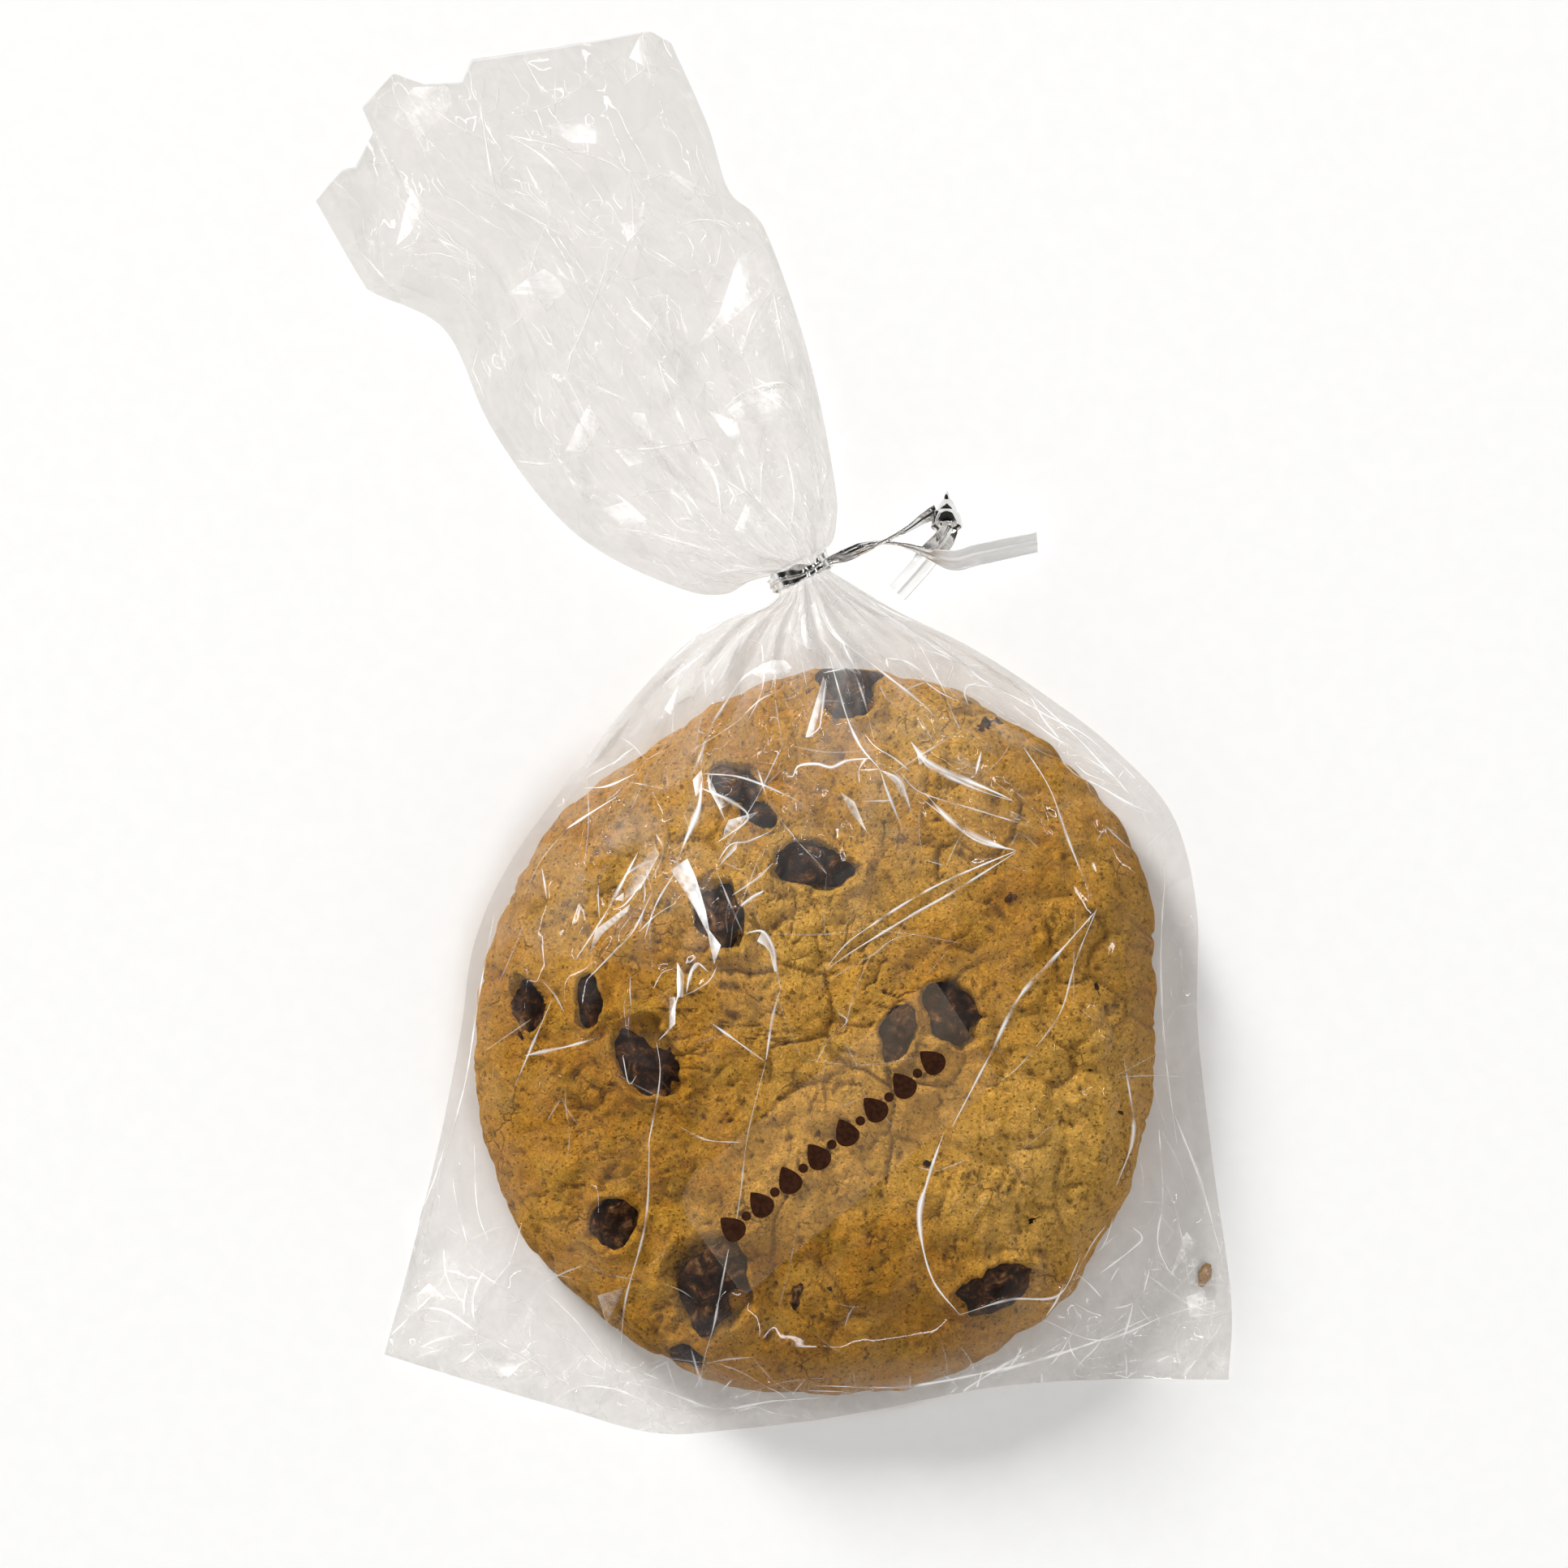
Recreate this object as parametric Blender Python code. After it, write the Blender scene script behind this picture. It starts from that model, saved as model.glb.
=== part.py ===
"""A chocolate chip cookie in a clear bag that a silver twist tie closes.

The bag lies on its back with the cookie in it, so the cookie and its chips give the bag its form.
+X runs across the bag, +Y from the cookie to the tail beyond the tie, and +Z up.
The origin is on the ground, under the middle of the whole piece.
Outlines are worked out in millimetres and become metres when a mesh is made.
"""

import math

import bmesh
import bpy
import numpy as np
from mathutils import Vector
from mathutils.bvhtree import BVHTree

MM = 0.001
CURVE_STEPS = 24
SKY = 0.1
TINY = 1e-9

# The cookie: its middle, its radii at even turns from +X, and its height
COOKIE_CENTRE = (6.3, -43.5)
COOKIE_RADII = (49.9, 54.1, 53.7, 53.5, 48.3, 49.6, 49.7, 52.0, 53.1, 53.5, 54.1, 52.3)
COOKIE_HEIGHT = 15.5
COOKIE_WAIST = 3.5
COOKIE_FOOT = 0.93
DOME_POWER = 3.2
DOME_ROOT = 2.2
FILM_GAP = 0.4
CHIP_MARGIN = 1.0

# Chips that stand out of the cookie: x, y, width, length, turn in degrees, rise
CHIPS = (
    (11.2, 6.0, 8.3, 8.3, 20, 2.2),
    (-5.6, -7.4, 7.1, 5.3, -30, 1.8),
    (-1.8, -11.8, 5.9, 3.1, -25, 1.0),
    (5.9, -19.6, 13.2, 6.9, -10, 2.0),
    (-7.7, -26.3, 7.3, 10.9, 20, 2.2),
    (-35.8, -39.5, 4.0, 8.0, 15, 1.2),
    (-26.6, -39.0, 3.8, 9.0, 0, 1.2),
    (-17.7, -47.0, 8.8, 14.0, 30, 2.4),
    (18.1, -43.2, 5.0, 8.5, -20, 1.6),
    (26.3, -41.1, 8.3, 10.9, 40, 2.4),
    (-23.4, -71.5, 7.8, 8.5, 0, 2.2),
    (-9.2, -79.6, 12.8, 15.6, 20, 2.8),
    (-11.8, -92.0, 4.3, 7.1, 30, 1.4),
    (33.4, -81.6, 13.2, 8.5, 20, 2.4),
)

# The bag's outline, in stretches between the throat, where the tie sits, and the two ends
BODY_LEFT = ((-56.8, -91.0), (-53.2, -77.8), (-48.5, -58.9), (-45.5, -43.5), (-43.6, -31.0),
             (-38.6, -19.4), (-29.6, -6.8), (-21.3, 3.8), (-13.0, 12.6), (-5.9, 16.8), (-1.7, 18.0))
BODY_RIGHT = ((66.8, -94.7), (67.1, -82.5), (64.2, -61.2), (62.1, -42.3), (62.0, -26.0),
              (58.6, -12.3), (50.3, -2.7), (41.4, 4.4), (29.6, 12.1), (17.7, 18.0))
BODY_END = ((-56.8, -91.0), (-46.1, -94.3), (-31.9, -98.5), (-17.7, -102.4), (-5.9, -102.0),
            (11.8, -99.7), (31.9, -95.8), (49.9, -94.6), (66.8, -94.7))
TAIL_LEFT = ((-3.4, 22.0), (-7.0, 20.2), (-13.0, 20.9), (-24.8, 26.3), (-33.1, 33.4),
             (-41.4, 45.2), (-47.9, 58.9), (-58.0, 64.2), (-66.8, 77.8))
TAIL_RIGHT = ((8.8, 28.0), (9.4, 31.5), (9.2, 35.8), (7.1, 47.6), (4.1, 59.4), (-1.0, 73.0),
              (-6.5, 79.6), (-9.5, 89.0), (-14.8, 100.9))
TAIL_MOUTH = ((-66.8, 77.8), (-62.7, 82.2), (-58.6, 88.2), (-55.0, 96.4), (-50.0, 95.4),
              (-44.4, 96.6), (-31.0, 100.2), (-17.7, 102.5), (-14.8, 100.9))

# The throat: the gathered film inside the tie
THROAT_CENTRE = (4.1, 23.2)
THROAT_TURN = math.radians(25)
THROAT_HALF_WIDTH = 4.15
THROAT_HALF_DEPTH = 3.2
THROAT_HALF_LENGTH = 1.5
THROAT_LEVEL = 5.2

# The film: its wall at the outline, its levels in millimetres, and the counts of its facets.
# A pair gives the shares of a sheet's length between which a level changes
EDGE = 0.6
SIDE_LEVEL = 3.6
END_LEVEL = 1.3
CORNER_LEVEL = 1.0
MOUTH_LEVEL = 1.6
END_WAVES = 5
END_WAVE_HEIGHT = 0.5
SIDE_RISES = (0.05, 0.4)
THROAT_RISES = (0.75, 1.0)
PLEATS = 8
PLEAT_HEIGHT = 1.3
PLEAT_GROWS = (0.6, 0.92)
PLEAT_FADES = (0.92, 1.0)
PLEAT_FADE = 0.7
PLEAT_SWAY = 0.8
PLEAT_SWAY_TURNS = 5
TAIL_OPENS = (0.0, 0.38)
TAIL_CLEARANCE = 0.7
TAIL_LIFT = 3.4
TAIL_LIFT_LOST = 0.55
TAIL_WAVES = 7
TAIL_WAVE_HEIGHT = 0.5
FOLD_LOST = 0.5
COLUMNS = 46
BODY_ROWS = 41
TAIL_ROWS = 27
MEMBRANE_STEPS = 1500

# Folds of the tail: where across it they start and end, their height and half width across it
TAIL_FOLDS = (
    (0.12, 0.10, 1.8, 0.06),
    (0.26, 0.30, 3.4, 0.07),
    (0.42, 0.44, 2.4, 0.05),
    (0.55, 0.60, 3.8, 0.07),
    (0.70, 0.76, 2.2, 0.05),
    (0.84, 0.90, 3.0, 0.06),
)

# The label: its corners, rounding, thickness, and gap to the film
LABEL_CORNERS = ((-14.7, -66.8), (23.3, -35.5), (32.9, -50.3), (-4.1, -81.6))
LABEL_ROUNDING = 2.4
LABEL_THICKNESS = 0.25
LABEL_GAP = 0.35
LABEL_LENGTHS = 30
LABEL_WIDTHS = 11

# The tie: a strip with a wire along its middle, wound once round the throat
STRIP_WIDTH = 3.4
STRIP_THICKNESS = 0.4
WIRE_RADIUS = 0.32
COLLAR_WIDTH = 2.2
COLLAR_GAP = 0.35
COLLAR_RIB = 0.02
COLLAR_SIDES = 40

# The tie's twisted stem: its route, its flat sides and how far it turns
STEM_ROUTE = ((8.2, 25.1, 6.2), (10.4, 26.2, 7.0), (13.2, 27.3, 7.4), (16.4, 27.9, 7.2))
STEM_STATIONS = 25
STEM_WIDTH = 2.4
STEM_THICKNESS = 1.0
STEM_FLATNESS = 0.8
STEM_FIRST_TURN = 0.2
STEM_TURNS = 1.25
STEM_LEAN = 0.3

# The end that rises, curls into a cone and falls. Each route has the directions of its width
RISE_ROUTE = ((15.2, 27.9, 7.6), (18.0, 29.0, 7.6), (20.5, 30.8, 7.0), (22.6, 32.8, 6.3))
RISE_SIDES = ((0.1, 0.3, 1.0), (-0.1, 0.4, 1.0), (-0.3, 0.7, 0.8), (-0.3, 1.0, 0.5))
FALL_ROUTE = ((22.6, 26.0, 3.5), (20.8, 23.6, 2.9), (18.3, 20.6, 2.7))
FALL_SIDES = ((-0.5, 0.8, 0.1), (-0.7, 0.7, 0.1), (-0.7, 0.7, 0.0))
CURL_STATIONS = 9
CURLED_STATIONS = 72
CONE_AXIS = (25.5, 6.2)
CURL_NARROW = 0.55
CONE_SLOPE = 0.3
CONE_FIRST = (33.6, 1.25)
CONE_LAST = (28.6, 2.3)
CONE_START = math.radians(215)
CONE_SWEEP = math.radians(340)

# The end that runs out to the right
STRAIGHT_ROUTE = ((15.5, 27.5, 6.8), (19.0, 27.4, 6.6), (22.6, 26.6, 7.2), (26.6, 25.2, 7.2),
                  (31.0, 25.9, 6.8), (38.6, 27.9, 5.2))
STRAIGHT_SIDES = ((0.0, 0.2, 1.0), (0.1, 0.3, 1.0), (0.2, 0.5, 1.0), (0.1, 0.9, 0.6),
                  (-0.2, 1.0, 0.5), (-0.2, 1.0, 0.7))
STRAIGHT_STATIONS = 26


def clear_scene():
    """Remove every object that the file opened with."""
    for item in list(bpy.data.objects):
        bpy.data.objects.remove(item, do_unlink=True)


def material(name, colour, roughness, metallic=0.0, alpha=1.0):
    """Return a plain material of one colour."""
    made = bpy.data.materials.new(name)
    made.use_nodes = True
    shader = made.node_tree.nodes["Principled BSDF"]
    shader.inputs["Base Color"].default_value = (*colour, 1.0)
    shader.inputs["Roughness"].default_value = roughness
    shader.inputs["Metallic"].default_value = metallic
    shader.inputs["Alpha"].default_value = alpha
    made.diffuse_color = (*colour, alpha)
    return made


def solid(name, points, faces, finish):
    """Make one object from points in millimetres, with its faces turned outwards."""
    mesh = bpy.data.meshes.new(name)
    mesh.from_pydata([tuple(float(value) * MM for value in point) for point in points], [], faces)
    work = bmesh.new()
    work.from_mesh(mesh)
    bmesh.ops.triangulate(work, faces=work.faces)
    bmesh.ops.recalc_face_normals(work, faces=work.faces)
    work.to_mesh(mesh)
    work.free()
    mesh.materials.append(finish)
    made = bpy.data.objects.new(name, mesh)
    bpy.context.scene.collection.objects.link(made)
    return made


def smooth_line(points, count):
    """Return points at even distances along a smooth curve through the given ones."""
    given = np.asarray(points, float)
    padded = np.vstack([2 * given[0] - given[1], given, 2 * given[-1] - given[-2]])
    share = np.linspace(0, 1, CURVE_STEPS, endpoint=False)[:, None]
    runs = []
    for before, start, end, after in zip(padded, padded[1:], padded[2:], padded[3:]):
        bend = 2 * before - 5 * start + 4 * end - after
        turn = 3 * start - before - 3 * end + after
        runs.append(start + 0.5 * ((end - before) * share + bend * share**2 + turn * share**3))
    runs.append(given[-1:])
    return spread(np.vstack(runs), count)


def spread(line, count):
    """Return points at even distances along a line of straight runs."""
    line = np.asarray(line, float)
    steps = np.linalg.norm(np.diff(line, axis=0), axis=1)
    travelled = np.concatenate([[0.0], np.cumsum(steps)])
    wanted = np.linspace(0.0, travelled[-1], count)
    return np.column_stack([np.interp(wanted, travelled, column) for column in line.T])


def patch(start, end, left, right):
    """Fill four boundary lines: rows run from start to end, columns from left to right."""
    across = np.linspace(0, 1, len(start))[None, :, None]
    along = np.linspace(0, 1, len(left))[:, None, None]
    rows = (1 - along) * start[None] + along * end[None]
    columns = (1 - across) * left[:, None] + across * right[:, None]
    first = (1 - across) * start[0] + across * start[-1]
    last = (1 - across) * end[0] + across * end[-1]
    return rows + columns - (1 - along) * first - along * last


def ease(value, low, high):
    """Rise smoothly from 0 at low to 1 at high."""
    share = np.clip((value - low) / (high - low), 0.0, 1.0)
    return share * share * (3 - 2 * share)


def cookie_reach(angle):
    """Return the cookie's radius at an angle, smoothly between the measured radii."""
    count = len(COOKIE_RADII)
    radii = np.asarray(COOKIE_RADII)
    place = (angle / (2 * math.pi)) % 1.0 * count
    index = np.floor(place).astype(int)
    share = place - index
    before, start, end, after = (radii[(index + step) % count] for step in (-1, 0, 1, 2))
    bend = 2 * before - 5 * start + 4 * end - after
    turn = 3 * start - before - 3 * end + after
    return start + 0.5 * ((end - before) * share + bend * share**2 + turn * share**3)


def cookie_share(x, y):
    """Return how far out on the cookie a place is: 0 in its middle and 1 at its edge."""
    out_x = x - COOKIE_CENTRE[0]
    out_y = y - COOKIE_CENTRE[1]
    return np.hypot(out_x, out_y) / cookie_reach(np.arctan2(out_y, out_x))


def cookie_top(x, y):
    """Return the height of the film where it lies on the cookie and its chips, or -1 off it."""
    share = np.clip(cookie_share(x, y), 0.0, 1.0)
    dome = (1 - share**DOME_POWER) ** (1 / DOME_ROOT)
    height = COOKIE_WAIST + (COOKIE_HEIGHT - COOKIE_WAIST) * dome
    for chip_x, chip_y, width, length, turn, rise in CHIPS:
        angle = math.radians(turn)
        off_x = x - chip_x
        off_y = y - chip_y
        along = (off_x * math.cos(angle) + off_y * math.sin(angle)) / (width / 2 + CHIP_MARGIN)
        aside = (off_y * math.cos(angle) - off_x * math.sin(angle)) / (length / 2 + CHIP_MARGIN)
        height = height + rise * np.sqrt(np.clip(1 - along**2 - aside**2, 0.0, 1.0))
    return np.where(share < 1.0, height + FILM_GAP, -1.0)


def throat_line(along):
    """Return the throat's left and right ends at a distance along it."""
    across = np.array((math.cos(THROAT_TURN), math.sin(THROAT_TURN)))
    ahead = np.array((-math.sin(THROAT_TURN), math.cos(THROAT_TURN)))
    middle = np.asarray(THROAT_CENTRE) + along * ahead
    return middle - THROAT_HALF_WIDTH * across, middle + THROAT_HALF_WIDTH * across


def plan():
    """Return the plan of the bag's facets: one grid of points, and the row where the tail starts."""
    low_left, low_right = throat_line(-THROAT_HALF_LENGTH)
    high_left, high_right = throat_line(THROAT_HALF_LENGTH)
    low = spread((low_left, low_right), COLUMNS + 1)
    high = spread((high_left, high_right), COLUMNS + 1)
    body = patch(
        smooth_line(BODY_END, COLUMNS + 1),
        low,
        smooth_line((*BODY_LEFT, low_left), BODY_ROWS),
        smooth_line((*BODY_RIGHT, low_right), BODY_ROWS),
    )
    tail = patch(
        high,
        spread(TAIL_MOUTH, COLUMNS + 1),
        smooth_line((high_left, *TAIL_LEFT), TAIL_ROWS),
        smooth_line((high_right, *TAIL_RIGHT), TAIL_ROWS),
    )
    return np.concatenate([body, tail]), BODY_ROWS


def throat_bulge(across):
    """Return half the depth of the gathered film across the throat."""
    side = 2 * across - 1
    return (THROAT_HALF_DEPTH - EDGE / 2) * np.sqrt(np.clip(1 - side**2, 0.0, 1.0))


def edge_levels(along):
    """Return the level of the body's side edges from the open corners to the throat."""
    tight = CORNER_LEVEL + (SIDE_LEVEL - CORNER_LEVEL) * ease(along, *SIDE_RISES)
    return tight + (THROAT_LEVEL - SIDE_LEVEL) * ease(along, *THROAT_RISES)


def relax(height, hold, steps):
    """Draw a sheet taut between its edges, where hold says what it can't pass."""
    for _ in range(steps):
        mean = height[:-2, 1:-1] + height[2:, 1:-1] + height[1:-1, :-2] + height[1:-1, 2:]
        height[1:-1, 1:-1] = hold(mean / 4)
    return height


def body_levels(grid):
    """Return the body's upper and lower film: both run from the edges round the cookie."""
    rows, columns = grid.shape[:2]
    along = np.linspace(0, 1, rows)
    across = np.linspace(0, 1, columns)
    x = grid[..., 0]
    y = grid[..., 1]
    rim = np.zeros((rows, columns))
    rim[:, 0] = rim[:, -1] = edge_levels(along)
    wave = END_WAVE_HEIGHT * np.sin(END_WAVES * math.pi * across) ** 2
    rim[0] = CORNER_LEVEL + (END_LEVEL - CORNER_LEVEL) * np.sin(math.pi * across) + wave
    rim[-1] = THROAT_LEVEL
    bulge = throat_bulge(across)

    upper = rim + EDGE / 2
    upper[-1] += bulge
    floor = cookie_top(x, y)[1:-1, 1:-1]
    upper = relax(upper, lambda mean: np.maximum(mean, floor), MEMBRANE_STEPS)

    lower = rim - EDGE / 2
    lower[-1] -= bulge
    free = (cookie_share(x, y) > COOKIE_FOOT)[1:-1, 1:-1]
    lower = relax(lower, lambda mean: np.where(free, mean, 0.0), MEMBRANE_STEPS)

    near = ease(along, *PLEAT_GROWS) * (1 - PLEAT_FADE * ease(along, *PLEAT_FADES))
    sway = PLEAT_SWAY * np.sin(PLEAT_SWAY_TURNS * across)
    fold = np.cos(2 * math.pi * PLEATS * across + sway)
    pleats = PLEAT_HEIGHT * near[:, None] * (fold * np.sin(math.pi * across) ** 0.5)[None, :]
    pleats[:, 0] = pleats[:, -1] = 0.0
    upper = np.maximum(upper + pleats, np.maximum(cookie_top(x, y), lower + EDGE))
    return upper, lower


def tail_levels(rows, columns):
    """Return the tail's upper and lower film: a fan of folds that comes down to the ground."""
    along = np.linspace(0, 1, rows)[:, None]
    across = np.linspace(0, 1, columns)[None, :]
    side = 2 * across - 1
    bulge = throat_bulge(across)
    opened = ease(along, *TAIL_OPENS)
    wave = TAIL_WAVE_HEIGHT * np.sin(TAIL_WAVES * math.pi * across) ** 2

    sheet = MOUTH_LEVEL - EDGE / 2 - TAIL_CLEARANCE
    low_fan = TAIL_CLEARANCE + sheet * side**2 + wave
    high_fan = MOUTH_LEVEL + EDGE / 2 + TAIL_LIFT * (1 - TAIL_LIFT_LOST * along) * (1 - side**4)
    for start, end, height, half_width in TAIL_FOLDS:
        crest = start + (end - start) * along
        shape = np.clip(1 - np.abs(across - crest) / half_width, 0.0, 1.0)
        high_fan = high_fan + height * (1 - FOLD_LOST * along) * shape

    upper = (THROAT_LEVEL + EDGE / 2 + bulge) * (1 - opened) + high_fan * opened
    lower = (THROAT_LEVEL - EDGE / 2 - bulge) * (1 - opened) + low_fan * opened
    edge = THROAT_LEVEL * (1 - opened) + MOUTH_LEVEL * opened
    for column in (0, -1):
        upper[:, column] = edge[:, 0] + EDGE / 2
        lower[:, column] = edge[:, 0] - EDGE / 2
    return upper, lower


def coarse_cells(kept_rows, kept_columns):
    """Yield cells between the kept rows and columns, with every place on the outline as a corner."""
    last_row = kept_rows[-1]
    last_column = kept_columns[-1]
    for low, high in zip(kept_rows, kept_rows[1:]):
        for left, right in zip(kept_columns, kept_columns[1:]):
            cell = [(low, column) for column in (range(left, right) if low == 0 else (left,))]
            cell += [(row, right) for row in (range(low, high) if right == last_column else (low,))]
            top = range(right, left, -1) if high == last_row else (right,)
            cell += [(high, column) for column in top]
            cell += [(row, left) for row in (range(high, low, -1) if left == 0 else (high,))]
            yield cell


def make_bag(finish):
    """Make the bag with what fills it as one closed solid."""
    grid, tail_row = plan()
    rows, columns = grid.shape[:2]
    body_upper, body_lower = body_levels(grid[:tail_row])
    tail_upper, tail_lower = tail_levels(rows - tail_row, columns)
    upper = np.concatenate([body_upper, tail_upper])
    lower = np.concatenate([body_lower, tail_lower])

    points = [(*grid[row, column], upper[row, column])
              for row in range(rows) for column in range(columns)]
    kept_rows = [*range(0, tail_row, 2), *range(tail_row, rows, 2)]
    kept_columns = list(range(0, columns, 2))
    below = {}
    for row in range(rows):
        for column in range(columns):
            outline = row in (0, rows - 1) or column in (0, columns - 1)
            if outline or (row in kept_rows and column in kept_columns):
                below[row, column] = len(points)
                points.append((*grid[row, column], lower[row, column]))

    def above(row, column):
        return row * columns + column

    faces = []
    for row in range(rows - 1):
        for column in range(columns - 1):
            faces.append((above(row, column), above(row, column + 1),
                          above(row + 1, column + 1), above(row + 1, column)))
    for cell in coarse_cells(kept_rows, kept_columns):
        faces.append(tuple(below[place] for place in reversed(cell)))

    outline = [(0, column) for column in range(columns)]
    outline += [(row, columns - 1) for row in range(1, rows)]
    outline += [(rows - 1, column) for column in range(columns - 2, -1, -1)]
    outline += [(row, 0) for row in range(rows - 2, 0, -1)]
    for here, following in zip(outline, outline[1:] + outline[:1]):
        faces.append((above(*here), below[here], below[following], above(*following)))
    return solid("bag", points, faces, finish)


def rounded(place, length, width, radius):
    """Pull a place near a corner of a rectangle in, so that the corner is round."""
    middle = np.array((length / 2, width / 2))
    inner = middle - radius
    offset = np.asarray(place) - middle
    corner = np.clip(offset, -inner, inner)
    out = offset - corner
    if np.all(np.abs(out) > TINY):
        out = out * np.abs(out).max() / np.linalg.norm(out)
    return middle + corner + out


def make_label(bag, finish):
    """Make the label: a thin plate that follows the film under it."""
    corners = np.asarray(LABEL_CORNERS)
    length = np.linalg.norm(corners[1] - corners[0])
    width = np.linalg.norm(corners[3] - corners[0])
    tree = BVHTree.FromPolygons([vertex.co.copy() for vertex in bag.data.vertices],
                                [tuple(face.vertices) for face in bag.data.polygons])
    lower = []
    for row in range(LABEL_WIDTHS + 1):
        for column in range(LABEL_LENGTHS + 1):
            place = (length * column / LABEL_LENGTHS, width * row / LABEL_WIDTHS)
            along, aside = rounded(place, length, width, LABEL_ROUNDING) / (length, width)
            near = (1 - along) * corners[0] + along * corners[1]
            far = (1 - along) * corners[3] + along * corners[2]
            x, y = (1 - aside) * near + aside * far
            hit = tree.ray_cast(Vector((x * MM, y * MM, SKY)), Vector((0, 0, -1)))[0]
            lower.append((x, y, hit.z / MM + LABEL_GAP))
    upper = [(x, y, z + LABEL_THICKNESS) for x, y, z in lower]
    columns = LABEL_LENGTHS + 1
    rows = LABEL_WIDTHS + 1
    count = len(lower)
    faces = []
    for row in range(rows - 1):
        for column in range(columns - 1):
            cell = (row * columns + column, row * columns + column + 1,
                    (row + 1) * columns + column + 1, (row + 1) * columns + column)
            faces.append(tuple(reversed(cell)))
            faces.append(tuple(corner + count for corner in cell))
    outline = [column for column in range(columns)]
    outline += [row * columns + columns - 1 for row in range(1, rows)]
    outline += [(rows - 1) * columns + column for column in range(columns - 2, -1, -1)]
    outline += [row * columns for row in range(rows - 2, 0, -1)]
    for here, following in zip(outline, outline[1:] + outline[:1]):
        faces.append((here, following, following + count, here + count))
    return solid("label", lower + upper, faces, finish)


def strip_section(width, thickness, wire):
    """Return a strip's section: flat sides with a ridge along the middle of each."""
    half = width / 2
    thick = thickness / 2
    return ((-half, -thick), (0, -wire), (half, -thick), (half, thick), (0, wire), (-half, thick))


def sweep(name, centres, sides, section, finish, widths=None, closed=False):
    """Carry a section along a path. The sides point along its width, which widths may narrow."""
    centres = np.asarray(centres, float)
    sides = np.asarray(sides, float)
    if closed:
        ahead = np.roll(centres, -1, axis=0) - np.roll(centres, 1, axis=0)
    else:
        ahead = np.gradient(centres, axis=0)
    ahead /= np.linalg.norm(ahead, axis=1)[:, None]
    sides = sides - (sides * ahead).sum(axis=1)[:, None] * ahead
    sides /= np.linalg.norm(sides, axis=1)[:, None]
    ups = np.cross(ahead, sides)
    if widths is not None:
        sides *= np.asarray(widths)[:, None]
    points = []
    for centre, side, up in zip(centres, sides, ups):
        points += [centre + side * across + up * over for across, over in section]
    size = len(section)
    count = len(centres)
    faces = []
    for ring in range(count if closed else count - 1):
        for corner in range(size):
            after = (corner + 1) % size
            here = ring * size
            there = (ring + 1) % count * size
            faces.append((here + corner, here + after, there + after, there + corner))
    if not closed:
        faces.append(tuple(range(size)))
        faces.append(tuple((count - 1) * size + corner for corner in reversed(range(size))))
    return solid(name, points, faces, finish)


def collar_part(finish):
    """Make the ring of strip round the throat."""
    across = np.array((math.cos(THROAT_TURN), math.sin(THROAT_TURN), 0.0))
    ahead = np.array((-math.sin(THROAT_TURN), math.cos(THROAT_TURN), 0.0))
    middle = np.array((*THROAT_CENTRE, THROAT_LEVEL))
    reach = COLLAR_GAP + STRIP_THICKNESS / 2
    turns = np.linspace(0, 2 * math.pi, COLLAR_SIDES, endpoint=False)[:, None]
    wide = (THROAT_HALF_WIDTH + reach) * np.cos(turns) * across
    deep = (THROAT_HALF_DEPTH + reach) * np.sin(turns) * np.array((0.0, 0.0, 1.0))
    sides = np.repeat(ahead[None], COLLAR_SIDES, axis=0)
    section = strip_section(COLLAR_WIDTH, STRIP_THICKNESS, STRIP_THICKNESS / 2 + COLLAR_RIB)
    return sweep("tie", middle + wide + deep, sides, section, finish, closed=True)


def stem_part(finish):
    """Make the twisted stem between the collar and the two free ends."""
    centres = smooth_line(STEM_ROUTE, STEM_STATIONS)
    last_turn = STEM_FIRST_TURN + STEM_TURNS
    turns = np.linspace(STEM_FIRST_TURN, last_turn, STEM_STATIONS) * 2 * math.pi
    sides = np.column_stack([-STEM_LEAN * np.cos(turns), np.cos(turns), np.sin(turns)])
    section = strip_section(STEM_WIDTH, STEM_THICKNESS * STEM_FLATNESS, STEM_THICKNESS / 2)
    return sweep("stem", centres, sides, section, finish)


def curled_end(finish):
    """Make the free end that curls into a cone and comes back down."""
    share = np.linspace(0, 1, CURL_STATIONS)
    angles = CONE_START + share * CONE_SWEEP
    levels = CONE_FIRST[0] + share * (CONE_LAST[0] - CONE_FIRST[0])
    radii = CONE_FIRST[1] + share * (CONE_LAST[1] - CONE_FIRST[1])
    curl = np.column_stack([
        CONE_AXIS[0] + radii * np.cos(angles),
        levels,
        CONE_AXIS[1] + radii * np.sin(angles),
    ])
    curl_sides = np.column_stack([
        CONE_SLOPE * -np.cos(angles),
        np.ones_like(angles),
        CONE_SLOPE * -np.sin(angles),
    ])
    centres = np.vstack([RISE_ROUTE, curl, FALL_ROUTE])
    sides = np.vstack([RISE_SIDES, curl_sides, FALL_SIDES])
    widths = np.concatenate([
        CURL_NARROW * np.ones(len(RISE_ROUTE)),
        np.linspace(CURL_NARROW, 1.0, CURL_STATIONS),
        np.ones(len(FALL_ROUTE)),
    ])
    path = smooth_line(np.hstack([centres, sides, widths[:, None]]), CURLED_STATIONS)
    section = strip_section(STRIP_WIDTH, STRIP_THICKNESS, WIRE_RADIUS)
    return sweep("curled", path[:, :3], path[:, 3:6], section, finish, widths=path[:, 6])


def straight_end(finish):
    """Make the free end that runs out to the right."""
    path = smooth_line(np.hstack([STRAIGHT_ROUTE, STRAIGHT_SIDES]), STRAIGHT_STATIONS)
    section = strip_section(STRIP_WIDTH, STRIP_THICKNESS, WIRE_RADIUS)
    return sweep("straight", path[:, :3], path[:, 3:], section, finish)


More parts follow.
